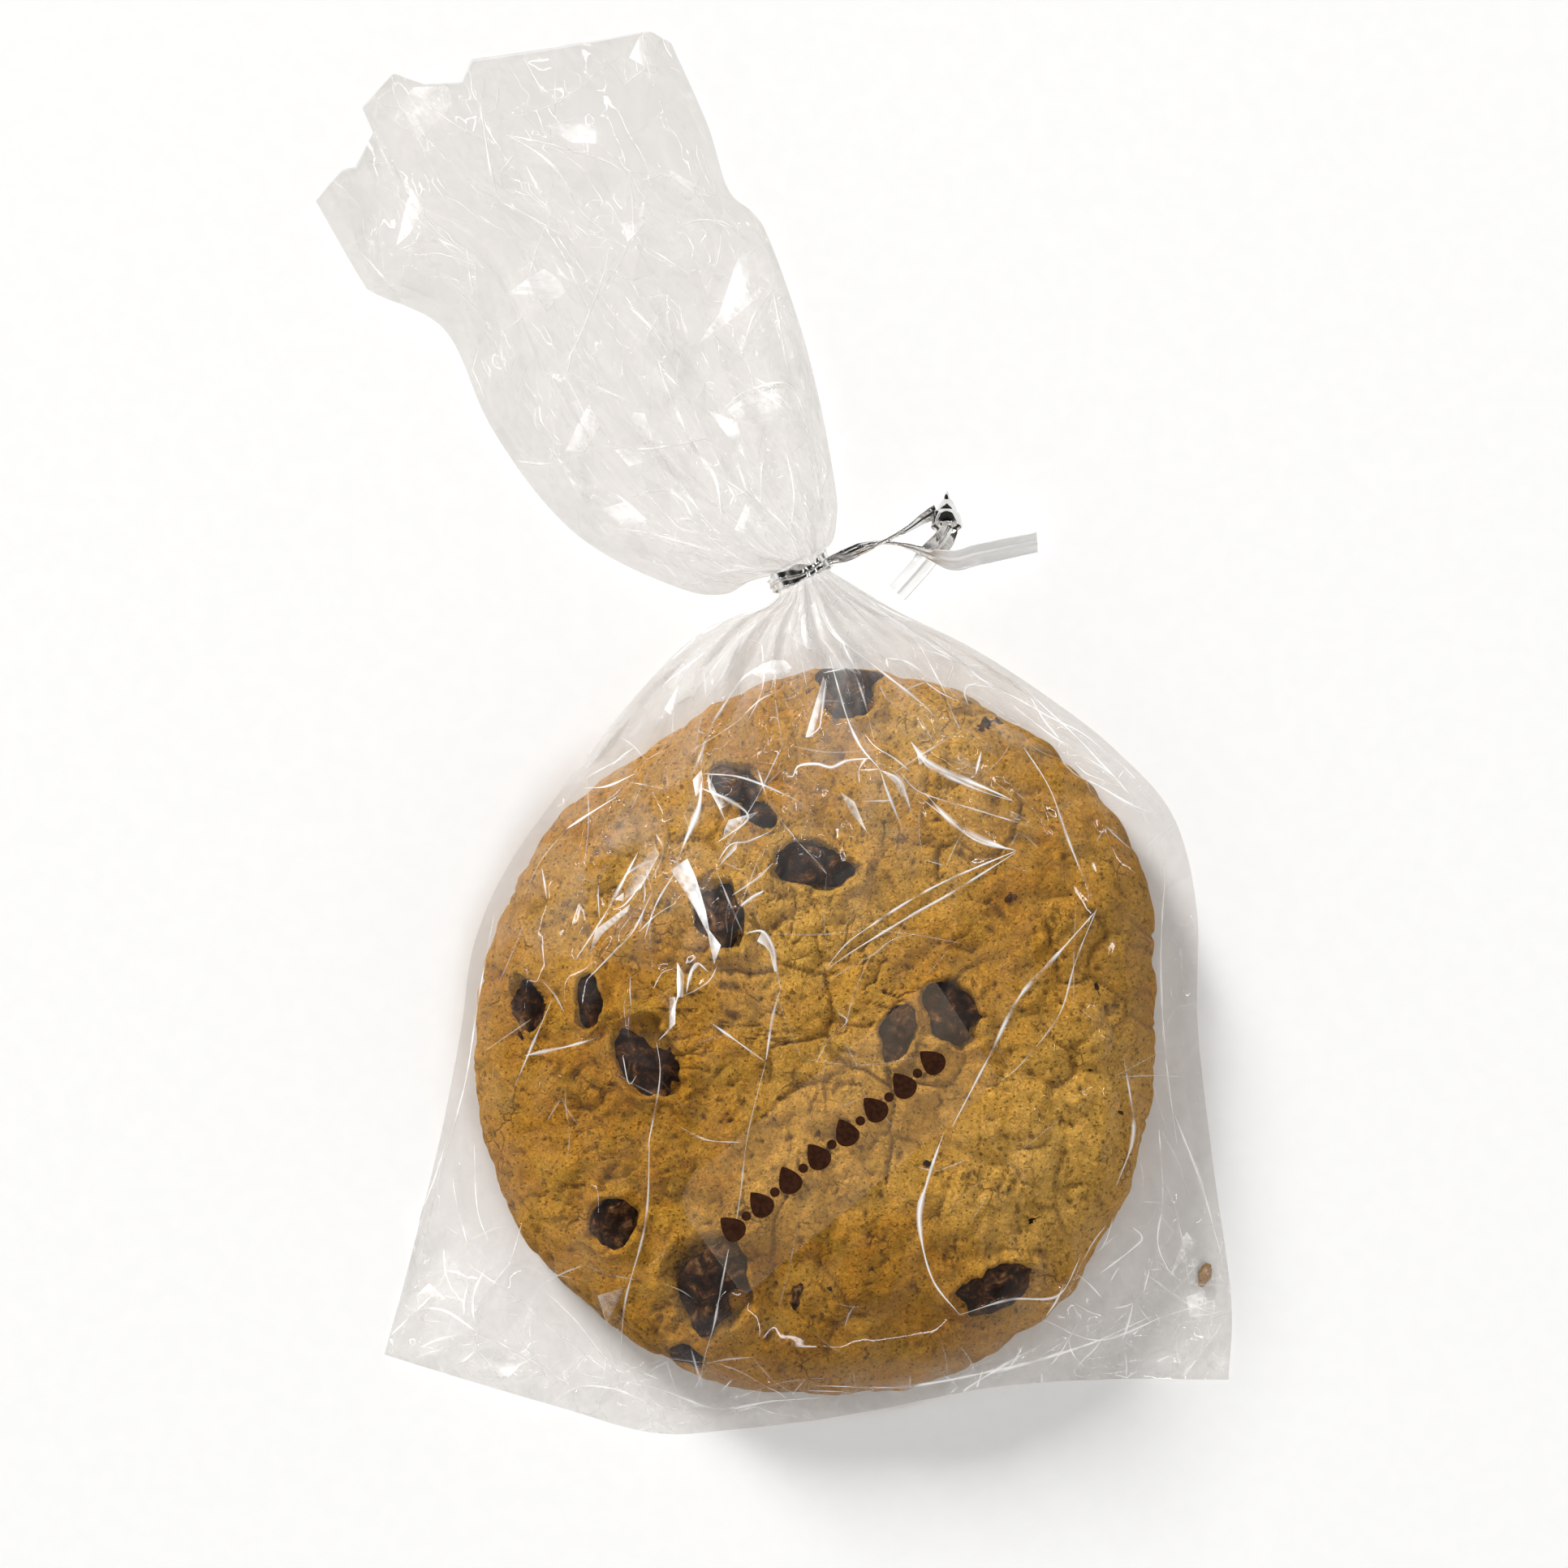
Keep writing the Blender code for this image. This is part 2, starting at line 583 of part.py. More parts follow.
def fuse(base, others):
    """Join pieces into the base by one union."""
    group = bpy.data.collections.new("joined")
    for other in others:
        group.objects.link(other)
    union = base.modifiers.new("union", "BOOLEAN")
    union.operation = "UNION"
    union.operand_type = "COLLECTION"
    union.collection = group
    bpy.context.view_layer.objects.active = base
    bpy.ops.object.modifier_apply(modifier=union.name)
    for other in others:
        bpy.data.objects.remove(other, do_unlink=True)
    bpy.data.collections.remove(group)
    return base


def centre_on_origin(pieces):
    """Move the pieces together, so that the middle of their box is over the origin."""
    corners = np.array([vertex.co for piece in pieces for vertex in piece.data.vertices])
    middle = (corners.min(axis=0) + corners.max(axis=0)) / 2
    for piece in pieces:
        piece.location = (-middle[0], -middle[1], 0.0)


def main():
    """Build the bag with the cookie, its label and its tie."""
    clear_scene()
    film = material("film_over_cookie", (0.50, 0.29, 0.12), 0.35)
    clear = material("clear_label", (0.80, 0.78, 0.74), 0.25)
    foil = material("silver_strip", (0.80, 0.79, 0.77), 0.15, metallic=1.0)
    bag = make_bag(film)
    label = make_label(bag, clear)
    tie = fuse(collar_part(foil), [stem_part(foil), curled_end(foil), straight_end(foil)])
    centre_on_origin([bag, label, tie])


main()
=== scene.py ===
import math

import bmesh
import bpy
import numpy as np
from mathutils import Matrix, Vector, noise
from mathutils.bvhtree import BVHTree
from mathutils.geometry import delaunay_2d_cdt


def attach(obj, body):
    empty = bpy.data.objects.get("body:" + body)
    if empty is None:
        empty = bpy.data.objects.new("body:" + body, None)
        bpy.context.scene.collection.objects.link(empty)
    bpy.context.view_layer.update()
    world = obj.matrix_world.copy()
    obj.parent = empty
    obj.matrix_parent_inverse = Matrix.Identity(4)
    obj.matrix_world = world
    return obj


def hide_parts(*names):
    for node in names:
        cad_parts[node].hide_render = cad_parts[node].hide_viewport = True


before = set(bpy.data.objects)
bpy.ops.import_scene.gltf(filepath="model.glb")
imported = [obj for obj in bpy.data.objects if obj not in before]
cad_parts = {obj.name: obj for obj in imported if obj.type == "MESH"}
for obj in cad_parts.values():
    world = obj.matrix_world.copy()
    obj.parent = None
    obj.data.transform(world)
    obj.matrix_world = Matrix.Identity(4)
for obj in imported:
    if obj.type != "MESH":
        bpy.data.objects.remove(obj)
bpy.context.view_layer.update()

# The looks of a chocolate chip cookie in a clear bag. Lengths are millimetres until a mesh is made.
MM = 0.001

# The photograph's frame: its width on the ground, and the place in its middle
VIEW_WIDTH = 228.6
VIEW_MIDDLE = (1.7, -7.5)
VIEW_LEVEL = 6.0
CAMERA_HEIGHT = 1200.0
SENSOR = 36.0

# Lamps: name, turn and lift in degrees, width and height in metres, radiance, and whether film mirrors it
LIGHT_DISTANCE = 8.0
LIGHT_TINT = (1.0, 0.995, 0.985)
LAMPS = (
    ("key", 128, 21, 2.1, 2.1, 62.0, False),
    ("fill", -48, 52, 3.2, 3.2, 5.2, False),
    ("strip_high", 100, 62, 3.7, 0.17, 23.5, True),
    ("strip_right", 25, 45, 4.6, 0.15, 23.5, True),
    ("strip_near", -75, 42, 4.6, 0.14, 21.5, True),
    ("strip_left", 160, 48, 3.6, 0.125, 26.0, True),
    ("strip_far", 60, 52, 3.6, 0.125, 26.0, True),
)
# The surround's brightness from the horizon up to overhead
SURROUND = ((0.0, 1.0), (0.3, 1.0), (0.55, 0.30), (0.75, 0.11), (0.93, 0.03), (1.0, 0.02))
SURROUND_STRENGTH = 0.85
FLOOR_HALF = 1500.0
FLOOR_LEVEL = -0.05

# Looks of the clear sheets: tint, milk, share of milk, sheen and roughness
FILM_LOOK = ((0.902, 0.888, 0.876), (0.71, 0.70, 0.688), 0.002, 0.024, 0.045)
# The creases' white is partly stress whitening and partly painted highlight
CREASE_HIGHLIGHT_LOOK = ((0.985, 0.98, 0.975), (0.97, 0.955, 0.94), 0.0, 0.05, 0.2)
LABEL_LOOK = ((0.995, 0.985, 0.97), (1.0, 0.80, 0.60), 0.024, 0.012, 0.12)

# The cookie, as the CAD has it
COOKIE_CENTRE = (6.3, -43.5)
COOKIE_RADII = (49.9, 54.1, 53.7, 53.5, 48.3, 49.6, 49.7, 52.0, 53.1, 53.5, 54.1, 52.3)
COOKIE_HEIGHT = 15.5
COOKIE_WAIST = 3.5
COOKIE_FOOT = 0.93
COOKIE_BASE = 0.35
DOME_POWER = 3.2
DOME_ROOT = 2.2
COOKIE_TURNS = 640
COOKIE_INNER_RINGS = 98
COOKIE_RIM_RINGS = 26
COOKIE_RIM_START = 0.93
COOKIE_CENTRE_HOLE = 0.006
COOKIE_LOWER_RINGS = 22
DOUGH_SINK = 0.5
# The shares of the lower rings at which the flat foot starts, and over which it closes
FOOT_START = 0.6
FOOT_SPAN = 0.42
# Lumps in the dough: their height, their size and the seed of their noise
DOUGH_LUMPS = ((0.45, 12.0, 3), (0.30, 5.0, 5), (0.24, 2.3, 8), (0.15, 1.15, 11))
# A ring-shaped dent low on the left
CRATER_PLACE = (-26.8, -51.8)
CRATER_RADII = (2.4, 3.2)
PORE_COUNT = 420
CHIP_SWELL = 1.16
CHIP_LIMIT = 0.985
LARGE_RISE = 0.5
FLAKE_COUNT = 26
FLAKE_REACH = 50
CRUMB_SIZE = (1.9, 3.4, 0.9)
CRUMB_PLACE = (63.2, -79.4, 0.75)
# Places where the dough is paler, or with a minus sign darker: x, y, reach, share. The darker spots are
# browner dough; the paler spots are partly paler dough and partly painted light, brightening the right side
# and lower right that the low key leaves in shade, and the dough under the label
BAKES_AND_PAINTED_LIGHT = ((38, -66, 14, 1.0), (46, -48, 11, 0.6), (24, 3, 13, 0.6), (-16, -12, 12, 0.4), (-30, -62, 9, 0.3),
         (12, -84, 13, -0.7), (26, -90, 9, -0.5), (1, -30, 14, 0.7), (-38, -24, 9, -0.4), (20, -22, 9, 0.3),
         (-37, -54, 12, -0.3), (12, -59, 10, 0.5), (24, -49, 9, 0.4), (1, -69, 9, 0.4))

# Chips that stand out of the cookie: x, y, width, length, turn in degrees, rise
CHIPS = (
    (11.2, 6.0, 8.3, 8.3, 20, 2.2),
    (-5.6, -7.4, 7.1, 5.3, -30, 1.8),
    (-1.8, -11.8, 5.9, 3.1, -25, 1.0),
    (5.9, -19.6, 13.2, 6.9, -10, 2.0),
    (-7.7, -26.3, 7.3, 10.9, 20, 2.2),
    (-35.8, -39.5, 4.0, 8.0, 15, 1.2),
    (-26.6, -39.0, 3.8, 9.0, 0, 1.2),
    (-17.7, -47.0, 8.8, 14.0, 30, 2.4),
    (18.1, -43.2, 5.0, 8.5, -20, 1.6),
    (26.3, -41.1, 8.3, 10.9, 40, 2.4),
    (-23.4, -71.5, 7.8, 8.5, 0, 2.2),
    (-9.2, -79.6, 12.8, 15.6, 20, 2.8),
    (-11.8, -92.0, 4.3, 7.1, 30, 1.4),
    (33.4, -81.6, 13.2, 8.5, 20, 2.4),
)
SPECKS = (
    (31.0, 1.2, 4.0, 2.6, 20, 0.4), (47.3, -37.6, 1.7, 2.8, 0, 0.3), (-28.0, -61.2, 2.4, 2.1, 0, 0.3),
    (34.7, -24.1, 2.1, 1.4, 0, 0.3), (3.5, -81.9, 2.6, 3.5, 0, 0.3), (49.9, -55.3, 2.4, 1.2, 0, 0.3),
)

# The bag's outline and throat, as the CAD has them
BODY_LEFT = ((-56.8, -91.0), (-53.2, -77.8), (-48.5, -58.9), (-45.5, -43.5), (-43.6, -31.0),
             (-38.6, -19.4), (-29.6, -6.8), (-21.3, 3.8), (-13.0, 12.6), (-5.9, 16.8), (-1.7, 18.0))
BODY_RIGHT = ((66.8, -94.7), (67.1, -82.5), (64.2, -61.2), (62.1, -42.3), (62.0, -26.0),
              (58.6, -12.3), (50.3, -2.7), (41.4, 4.4), (29.6, 12.1), (17.7, 18.0))
BODY_END = ((-56.8, -91.0), (-46.1, -94.3), (-31.9, -98.5), (-17.7, -102.4), (-5.9, -102.0),
            (11.8, -99.7), (31.9, -95.8), (49.9, -94.6), (66.8, -94.7))
TAIL_LEFT = ((-3.4, 22.0), (-7.0, 20.2), (-13.0, 20.9), (-24.8, 26.3), (-33.1, 33.4),
             (-41.4, 45.2), (-47.9, 58.9), (-58.0, 64.2), (-60.3, 66.5), (-66.8, 77.8))
TAIL_RIGHT = ((8.8, 28.0), (9.4, 31.5), (9.2, 35.8), (7.1, 47.6), (4.1, 59.4), (-0.6, 72.5),
              (-3.0, 76.2), (-6.5, 79.6), (-9.5, 89.0), (-14.8, 100.9))
TAIL_MOUTH = ((-66.8, 77.8), (-62.7, 82.2), (-60.9, 82.6), (-58.4, 87.8), (-60.0, 91.4), (-55.4, 96.4),
              (-50.9, 94.8), (-45.4, 95.0), (-43.9, 98.3), (-31.0, 100.2), (-17.7, 102.5), (-14.8, 100.9))
THROAT_CENTRE = np.array((4.1, 23.2))
THROAT_TURN = math.radians(25)
THROAT_ACROSS = np.array((math.cos(THROAT_TURN), math.sin(THROAT_TURN)))
THROAT_AHEAD = np.array((-math.sin(THROAT_TURN), math.cos(THROAT_TURN)))
THROAT_HALF_WIDTH = 4.15
THROAT_HALF_DEPTH = 3.2
THROAT_HALF_LENGTH = 1.5
THROAT_LEVEL = 5.2
SIDE_LEVEL = 3.6
END_LEVEL = 1.3
CORNER_LEVEL = 1.0
MOUTH_LEVEL = 1.6

# Facets of the film: columns and rows of each sheet
FRONT_GRID = (300, 290)
TAIL_GRID = (220, 230)
BACK_GRID = (150, 140)
TAIL_BACK_GRID = (140, 130)
FIELD = 420
LUMP_CELLS = 97
CELL_COUNT = 61
# How far up or down rays start, in millimetres
RAY_START = 100.0
# A crease's stations across its width, and how white each is
CREASE_ACROSS = np.array((-1.0, -0.45, 0.0, 0.45, 1.0))
CREASE_PROFILE = np.array((0.1, 0.6, 1.0, 0.6, 0.1))
BODY_WIDTH = 120.0
BODY_LENGTH = 112.0
TAIL_WIDTH = 66.0
TAIL_LENGTH = 80.0
SKIN = 0.12
GATHER_REACH = 62.0
UNDERSIDE = 46.0
SQUARE = 140.0
SQUARE_LEFT = -70.0
SQUARE_LOW = -105.0
# Layers of facets: how many across and along, and their height
BODY_LAYERS = ((9, 8, 1.1), (17, 15, 0.8), (34, 30, 0.24))
BODY_GATHERS = ((17, 6, 1.3), (30, 9, 0.5))
CORNER_LAYERS = ((22, 24, 1.2), (46, 48, 0.35))
TAIL_LAYERS = ((4, 5, 1.7), (8, 11, 1.2), (15, 21, 0.45))
TAIL_GATHERS = ((12, 6, 1.3), (22, 9, 0.5))
# Where the film over the cookie is folded most: place, reach and share
BUSY_SPOTS = ((-20.0, -18.0, 19.0, 1.0), (20.0, -4.0, 15.0, 0.6))
# How sharp a bend begins to look white and is whitest, and how white that is; this white is painted highlight
# at sharp bends, partly stress whitening
KINK_BENDS = (0.3, 0.9)
KINK_HIGHLIGHT = 0.14
# The lowest levels of the front and back film
FRONT_LOWEST = 0.12
BACK_LOWEST = 0.04
TAIL_LOWEST = 0.5
# The line of the milky fold over the cookie's upper rim
PALE_ARC = ((-36.0, -14.0), (-24.0, 0.0), (-10.0, 9.0), (3.0, 12.5), (14.0, 11.5))

# Creases over the body: width, whiteness, and the line along each. Their white is partly stress whitening and
# partly painted highlight
CREASES = (
    (0.45, 1.0, ((7.7, -34.2), (10.8, -30.5), (15.1, -27.4), (20.1, -24.2), (25.8, -21.2), (35.5, -17.1))),
    (0.42, 1.0, ((7.8, -34.3), (11.4, -31.8), (15.1, -29.5), (20.8, -26.1), (26.0, -23.2), (35.3, -17.4))),
    (0.25, 0.5, ((7.0, -36.7), (10.8, -34.2), (14.8, -32.0), (17.6, -29.9), (22.4, -28.9))),
    (0.45, 0.9, ((20.1, -1.5), (21.8, -4.0), (22.6, -5.0), (25.8, -6.6), (30.5, -8.6), (35.0, -10.0))),
    (0.50, 0.9, ((21.9, -9.8), (24.8, -12.1), (29.6, -15.7), (35.3, -17.1))),
    (0.30, 0.7, ((18.3, -5.6), (21.3, -8.6), (28.4, -10.9), (34.3, -12.7), (38.5, -14.0))),
    (0.40, 0.8, ((36.1, -1.5), (40.2, -8.0), (43.2, -16.3), (46.5, -24.5))),
    (0.55, 1.0, ((47.3, -25.5), (40.2, -33.4), (35.5, -38.7), (31.3, -47.0), (26.0, -57.1))),
    (0.35, 0.8, ((47.1, -25.5), (44.0, -33.0), (41.5, -41.0), (36.0, -48.0), (33.0, -50.5))),
    (0.70, 1.0, ((24.8, -57.9), (22.5, -64.8), (21.3, -70.7), (23.1, -79.0), (27.2, -84.5))),
    (0.40, 0.9, ((27.0, -84.5), (34.3, -82.2), (41.4, -81.9), (44.8, -76.2))),
    (0.40, 0.9, ((-9.9, -6.0), (-4.3, -6.6), (2.8, -9.5), (6.0, -11.8))),
    (0.55, 0.9, ((-10.5, -8.0), (-6.0, -10.0), (-3.5, -12.5), (-8.0, -16.0))),
    (0.60, 1.0, ((-3.7, -29.0), (-1.4, -28.8), (0.1, -31.1), (0.6, -33.9), (1.2, -37.1))),
    (0.45, 0.9, ((1.2, -37.1), (0.1, -41.1), (-0.9, -47.4))),
    (0.45, 0.9, ((-9.0, -41.9), (-5.6, -44.3), (-1.2, -47.5))),
    (0.80, 1.0, ((-13.7, -33.3), (-13.4, -37.1), (-14.2, -39.9), (-14.7, -42.6), (-16.4, -44.5))),
    (0.30, 0.8, ((-16.7, -44.8), (-16.2, -48.0), (-16.3, -50.8), (-16.8, -54.0), (-18.0, -60.0))),
    (0.45, 0.9, ((-12.4, -37.7), (-11.9, -35.2), (-10.9, -33.4), (-9.3, -34.6))),
    (0.30, 0.7, ((-8.0, -33.9), (-9.0, -35.8), (-11.1, -37.3), (-13.4, -38.3))),
    (0.35, 0.8, ((-17.2, -37.1), (-15.9, -34.8), (-14.3, -34.2))),
    (0.40, 0.8, ((-16.3, -18.3), (-20.9, -24.5), (-23.1, -25.7))),
    (0.35, 0.8, ((-14.0, -20.2), (-16.8, -24.9), (-18.5, -30.0))),
    (0.35, 0.8, ((-17.4, -23.2), (-20.0, -28.6), (-23.1, -32.0), (-27.0, -36.0))),
    (0.50, 0.9, ((-19.5, -17.5), (-24.0, -26.0), (-28.5, -33.0))),
    (0.25, 0.5, ((-8.0, -20.2), (-6.0, -25.0), (-4.3, -28.9))),
    (0.70, 0.9, ((-4.6, -25.1), (-2.9, -23.8), (-1.2, -23.0))),
    (0.45, 0.5, ((-5.8, -23.6), (-2.0, -21.0), (0.1, -18.9))),
    (0.30, 0.6, ((10.3, -39.6), (9.5, -40.5), (10.8, -41.8), (8.3, -44.3), (6.4, -47.7))),
    (0.40, 0.9, ((-21.6, -46.7), (-20.7, -50.8), (-19.6, -49.6))),
    (0.35, 0.8, ((-13.2, -57.1), (-9.5, -58.9), (-4.5, -59.3))),
    (0.60, 0.7, ((-35.9, -46.9), (-30.0, -45.6), (-24.8, -44.1))),
    (0.35, 0.7, ((-38.4, -53.8), (-35.5, -47.0), (-31.9, -38.7))),
    (0.30, 0.6, ((-17.7, -57.9), (-18.3, -70.7), (-21.3, -82.5), (-22.2, -92.0))),
    (0.25, 0.5, ((-0.9, -47.5), (-3.5, -58.0), (-4.5, -66.0), (-5.5, -73.0))),
    (0.55, 1.0, ((6.3, 19.1), (8.6, 14.5), (12.6, 11.4), (21.2, 4.6), (23.6, 2.3))),
    (0.70, 1.0, ((-1.9, 9.4), (-4.5, 7.6), (-7.5, 3.1), (-8.8, 0.9), (-10.5, -3.7), (-11.9, -6.8))),
    (0.30, 0.8, ((1.8, 7.6), (1.2, 6.2), (-1.9, 4.6), (-5.3, 1.4), (-8.8, -0.9), (-14.2, -4.3))),
    (0.45, 0.8, ((7.8, 7.6), (7.1, 2.2), (6.7, 0.5), (4.9, -0.8))),
    (0.40, 0.9, ((8.3, 11.1), (9.7, 6.0), (10.9, 2.0), (12.8, -2.1), (15.6, -5.4))),
    (0.40, 0.9, ((2.0, -6.3), (3.0, -6.4), (3.8, -4.9), (6.4, -4.6), (8.6, -5.1), (10.9, -4.1),
                 (14.3, -3.8))),
    (0.35, 0.9, ((13.4, -0.3), (14.9, -2.1), (17.5, -3.7), (19.9, -5.6))),
    (0.40, 0.9, ((15.6, -5.4), (16.3, -7.7), (16.9, -9.3), (18.8, -14.0))),
    (0.40, 0.9, ((15.6, -5.5), (18.3, -6.8), (19.4, -9.3), (20.5, -13.0))),
    (0.35, 0.8, ((30.4, 7.4), (28.3, 6.6), (28.0, 5.4), (28.5, 4.0))),
    (0.45, 0.7, ((31.9, -93.5), (42.0, -90.5), (52.4, -87.4))),
    (0.50, 0.8, ((51.0, -47.0), (52.5, -58.0), (50.0, -66.0))),
    (0.35, 0.6, ((57.4, -18.0), (56.6, -32.0), (57.2, -46.0), (59.0, -60.0))),
    (0.35, 0.7, ((-40.5, -26.0), (-43.0, -40.0), (-45.0, -52.0), (-49.0, -66.0), (-52.0, -80.0))),
    (0.40, 0.7, ((56.0, -62.0), (59.5, -72.0), (61.5, -84.0))),
    (0.45, 0.8, ((54.5, -79.0), (60.0, -83.0), (64.5, -85.0))),
    (0.40, 0.9, ((39.2, -85.4), (47.7, -88.7), (57.3, -85.4), (64.8, -83.0))),
    (0.50, 1.0, ((25.0, -98.5), (32.5, -92.9), (40.1, -88.7))),
    (0.50, 1.0, ((5.9, -95.1), (20.1, -95.3), (32.5, -92.9), (43.9, -90.1), (55.4, -85.4))),
    (0.45, 1.0, ((56.3, -57.8), (57.0, -67.3), (56.3, -74.5), (58.2, -79.2))),
    (0.40, 0.9, ((58.7, -55.9), (62.5, -65.4), (65.8, -76.8))),
    (0.40, 0.9, ((40.6, -92.4), (42.0, -90.6), (44.4, -86.3))),
    (0.70, 1.0, ((29.7, -96.8), (30.1, -94.8), (30.6, -92.9))),
    (0.50, 0.9, ((51.6, -90.6), (51.8, -92.4), (51.8, -94.3))),
    (0.40, 0.9, ((52.5, -72.1), (53.9, -73.5), (53.0, -74.9), (47.8, -78.7))),
    (0.50, 1.0, ((-54.1, -84.8), (-48.2, -84.4), (-42.3, -87.8), (-36.3, -91.1), (-29.6, -95.4))),
    (0.40, 0.9, ((-52.8, -91.6), (-47.7, -89.9), (-41.4, -89.0))),
    (0.50, 1.0, ((-41.8, -78.0), (-43.5, -81.8), (-43.5, -85.2), (-42.7, -86.5))),
    (0.40, 0.9, ((-50.3, -74.7), (-51.5, -71.3), (-49.0, -64.1), (-46.9, -57.3))),
    (0.35, 0.8, ((-48.2, -75.5), (-47.7, -79.3), (-46.5, -81.8))),
    (0.40, 0.9, ((-44.4, -77.6), (-38.0, -81.8), (-31.3, -87.8), (-22.8, -94.1))),
    (0.40, 0.9, ((-33.4, -81.0), (-28.7, -85.6), (-25.4, -89.9), (-22.0, -94.1))),
    (0.50, 1.0, ((-22.0, -91.6), (-19.0, -93.2), (-16.5, -94.3))),
    (0.45, 1.0, ((-32.5, -98.7), (-28.7, -95.8), (-23.2, -95.8), (-16.9, -98.3), (-11.8, -99.2))),
    (0.40, 0.9, ((-20.3, -102.1), (-18.6, -100.4), (-16.5, -100.6), (-14.4, -102.3))),
    (0.50, 0.9, ((-22.4, -94.5), (-16.9, -95.8), (-8.5, -98.7), (0.0, -97.5), (6.8, -97.0))),
    (0.50, 0.9, ((-11.8, -89.4), (-11.0, -92.6), (-10.1, -95.8))),
    (0.30, 0.8, ((-6.3, -74.7), (-7.6, -81.4), (-8.5, -86.1), (-9.7, -90.3), (-10.4, -94.5))),
    (0.35, 0.6, ((-43.5, -59.9), (-43.1, -69.2), (-41.4, -74.2))),
    (0.40, 0.9, ((-0.8, 20.4), (-5.4, 18.3), (-10.1, 14.7), (-14.7, 10.6))),
    (0.40, 0.9, ((27.9, 6.5), (28.9, 7.0), (33.6, 6.0), (40.2, 2.4), (45.4, -0.2), (49.5, -3.7))),
    (0.35, 0.8, ((22.3, 14.5), (25.9, 11.7), (31.5, 7.0), (37.7, 1.9), (42.8, -1.7), (49.5, -3.7))),
    (0.40, 0.9, ((45.9, -6.8), (53.0, -10.9), (58.6, -12.7), (55.6, -15.5), (54.1, -17.1))),
    (0.40, 0.8, ((49.5, -3.2), (53.0, -6.8), (57.6, -12.0))),
    (0.40, 0.9, ((-27.6, -8.1), (-24.0, -7.8), (-19.9, -6.0))),
    (0.40, 1.0, ((-20.4, -7.3), (-17.4, -7.8), (-15.3, -8.1), (-15.3, -6.0))),
    (0.35, 0.8, ((-16.9, -14.7), (-15.8, -17.3), (-17.4, -21.4))),
    (0.40, 0.9, ((-21.5, -20.9), (-19.4, -19.4), (-16.6, -18.3))),
    (0.80, 1.0, ((-14.3, -20.4), (-12.8, -16.3), (-10.7, -11.2), (-10.2, -7.0))),
    (0.40, 0.9, ((-8.1, -19.1), (-6.1, -16.3), (-3.5, -15.8), (0.1, -14.2))),
    (0.90, 1.0, ((20.1, -1.4), (22.1, -4.0), (25.7, -6.0), (30.9, -8.1), (34.3, -9.6))),
    (0.90, 1.0, ((22.1, -8.8), (25.7, -12.7), (29.8, -15.3), (33.9, -16.8))),
)

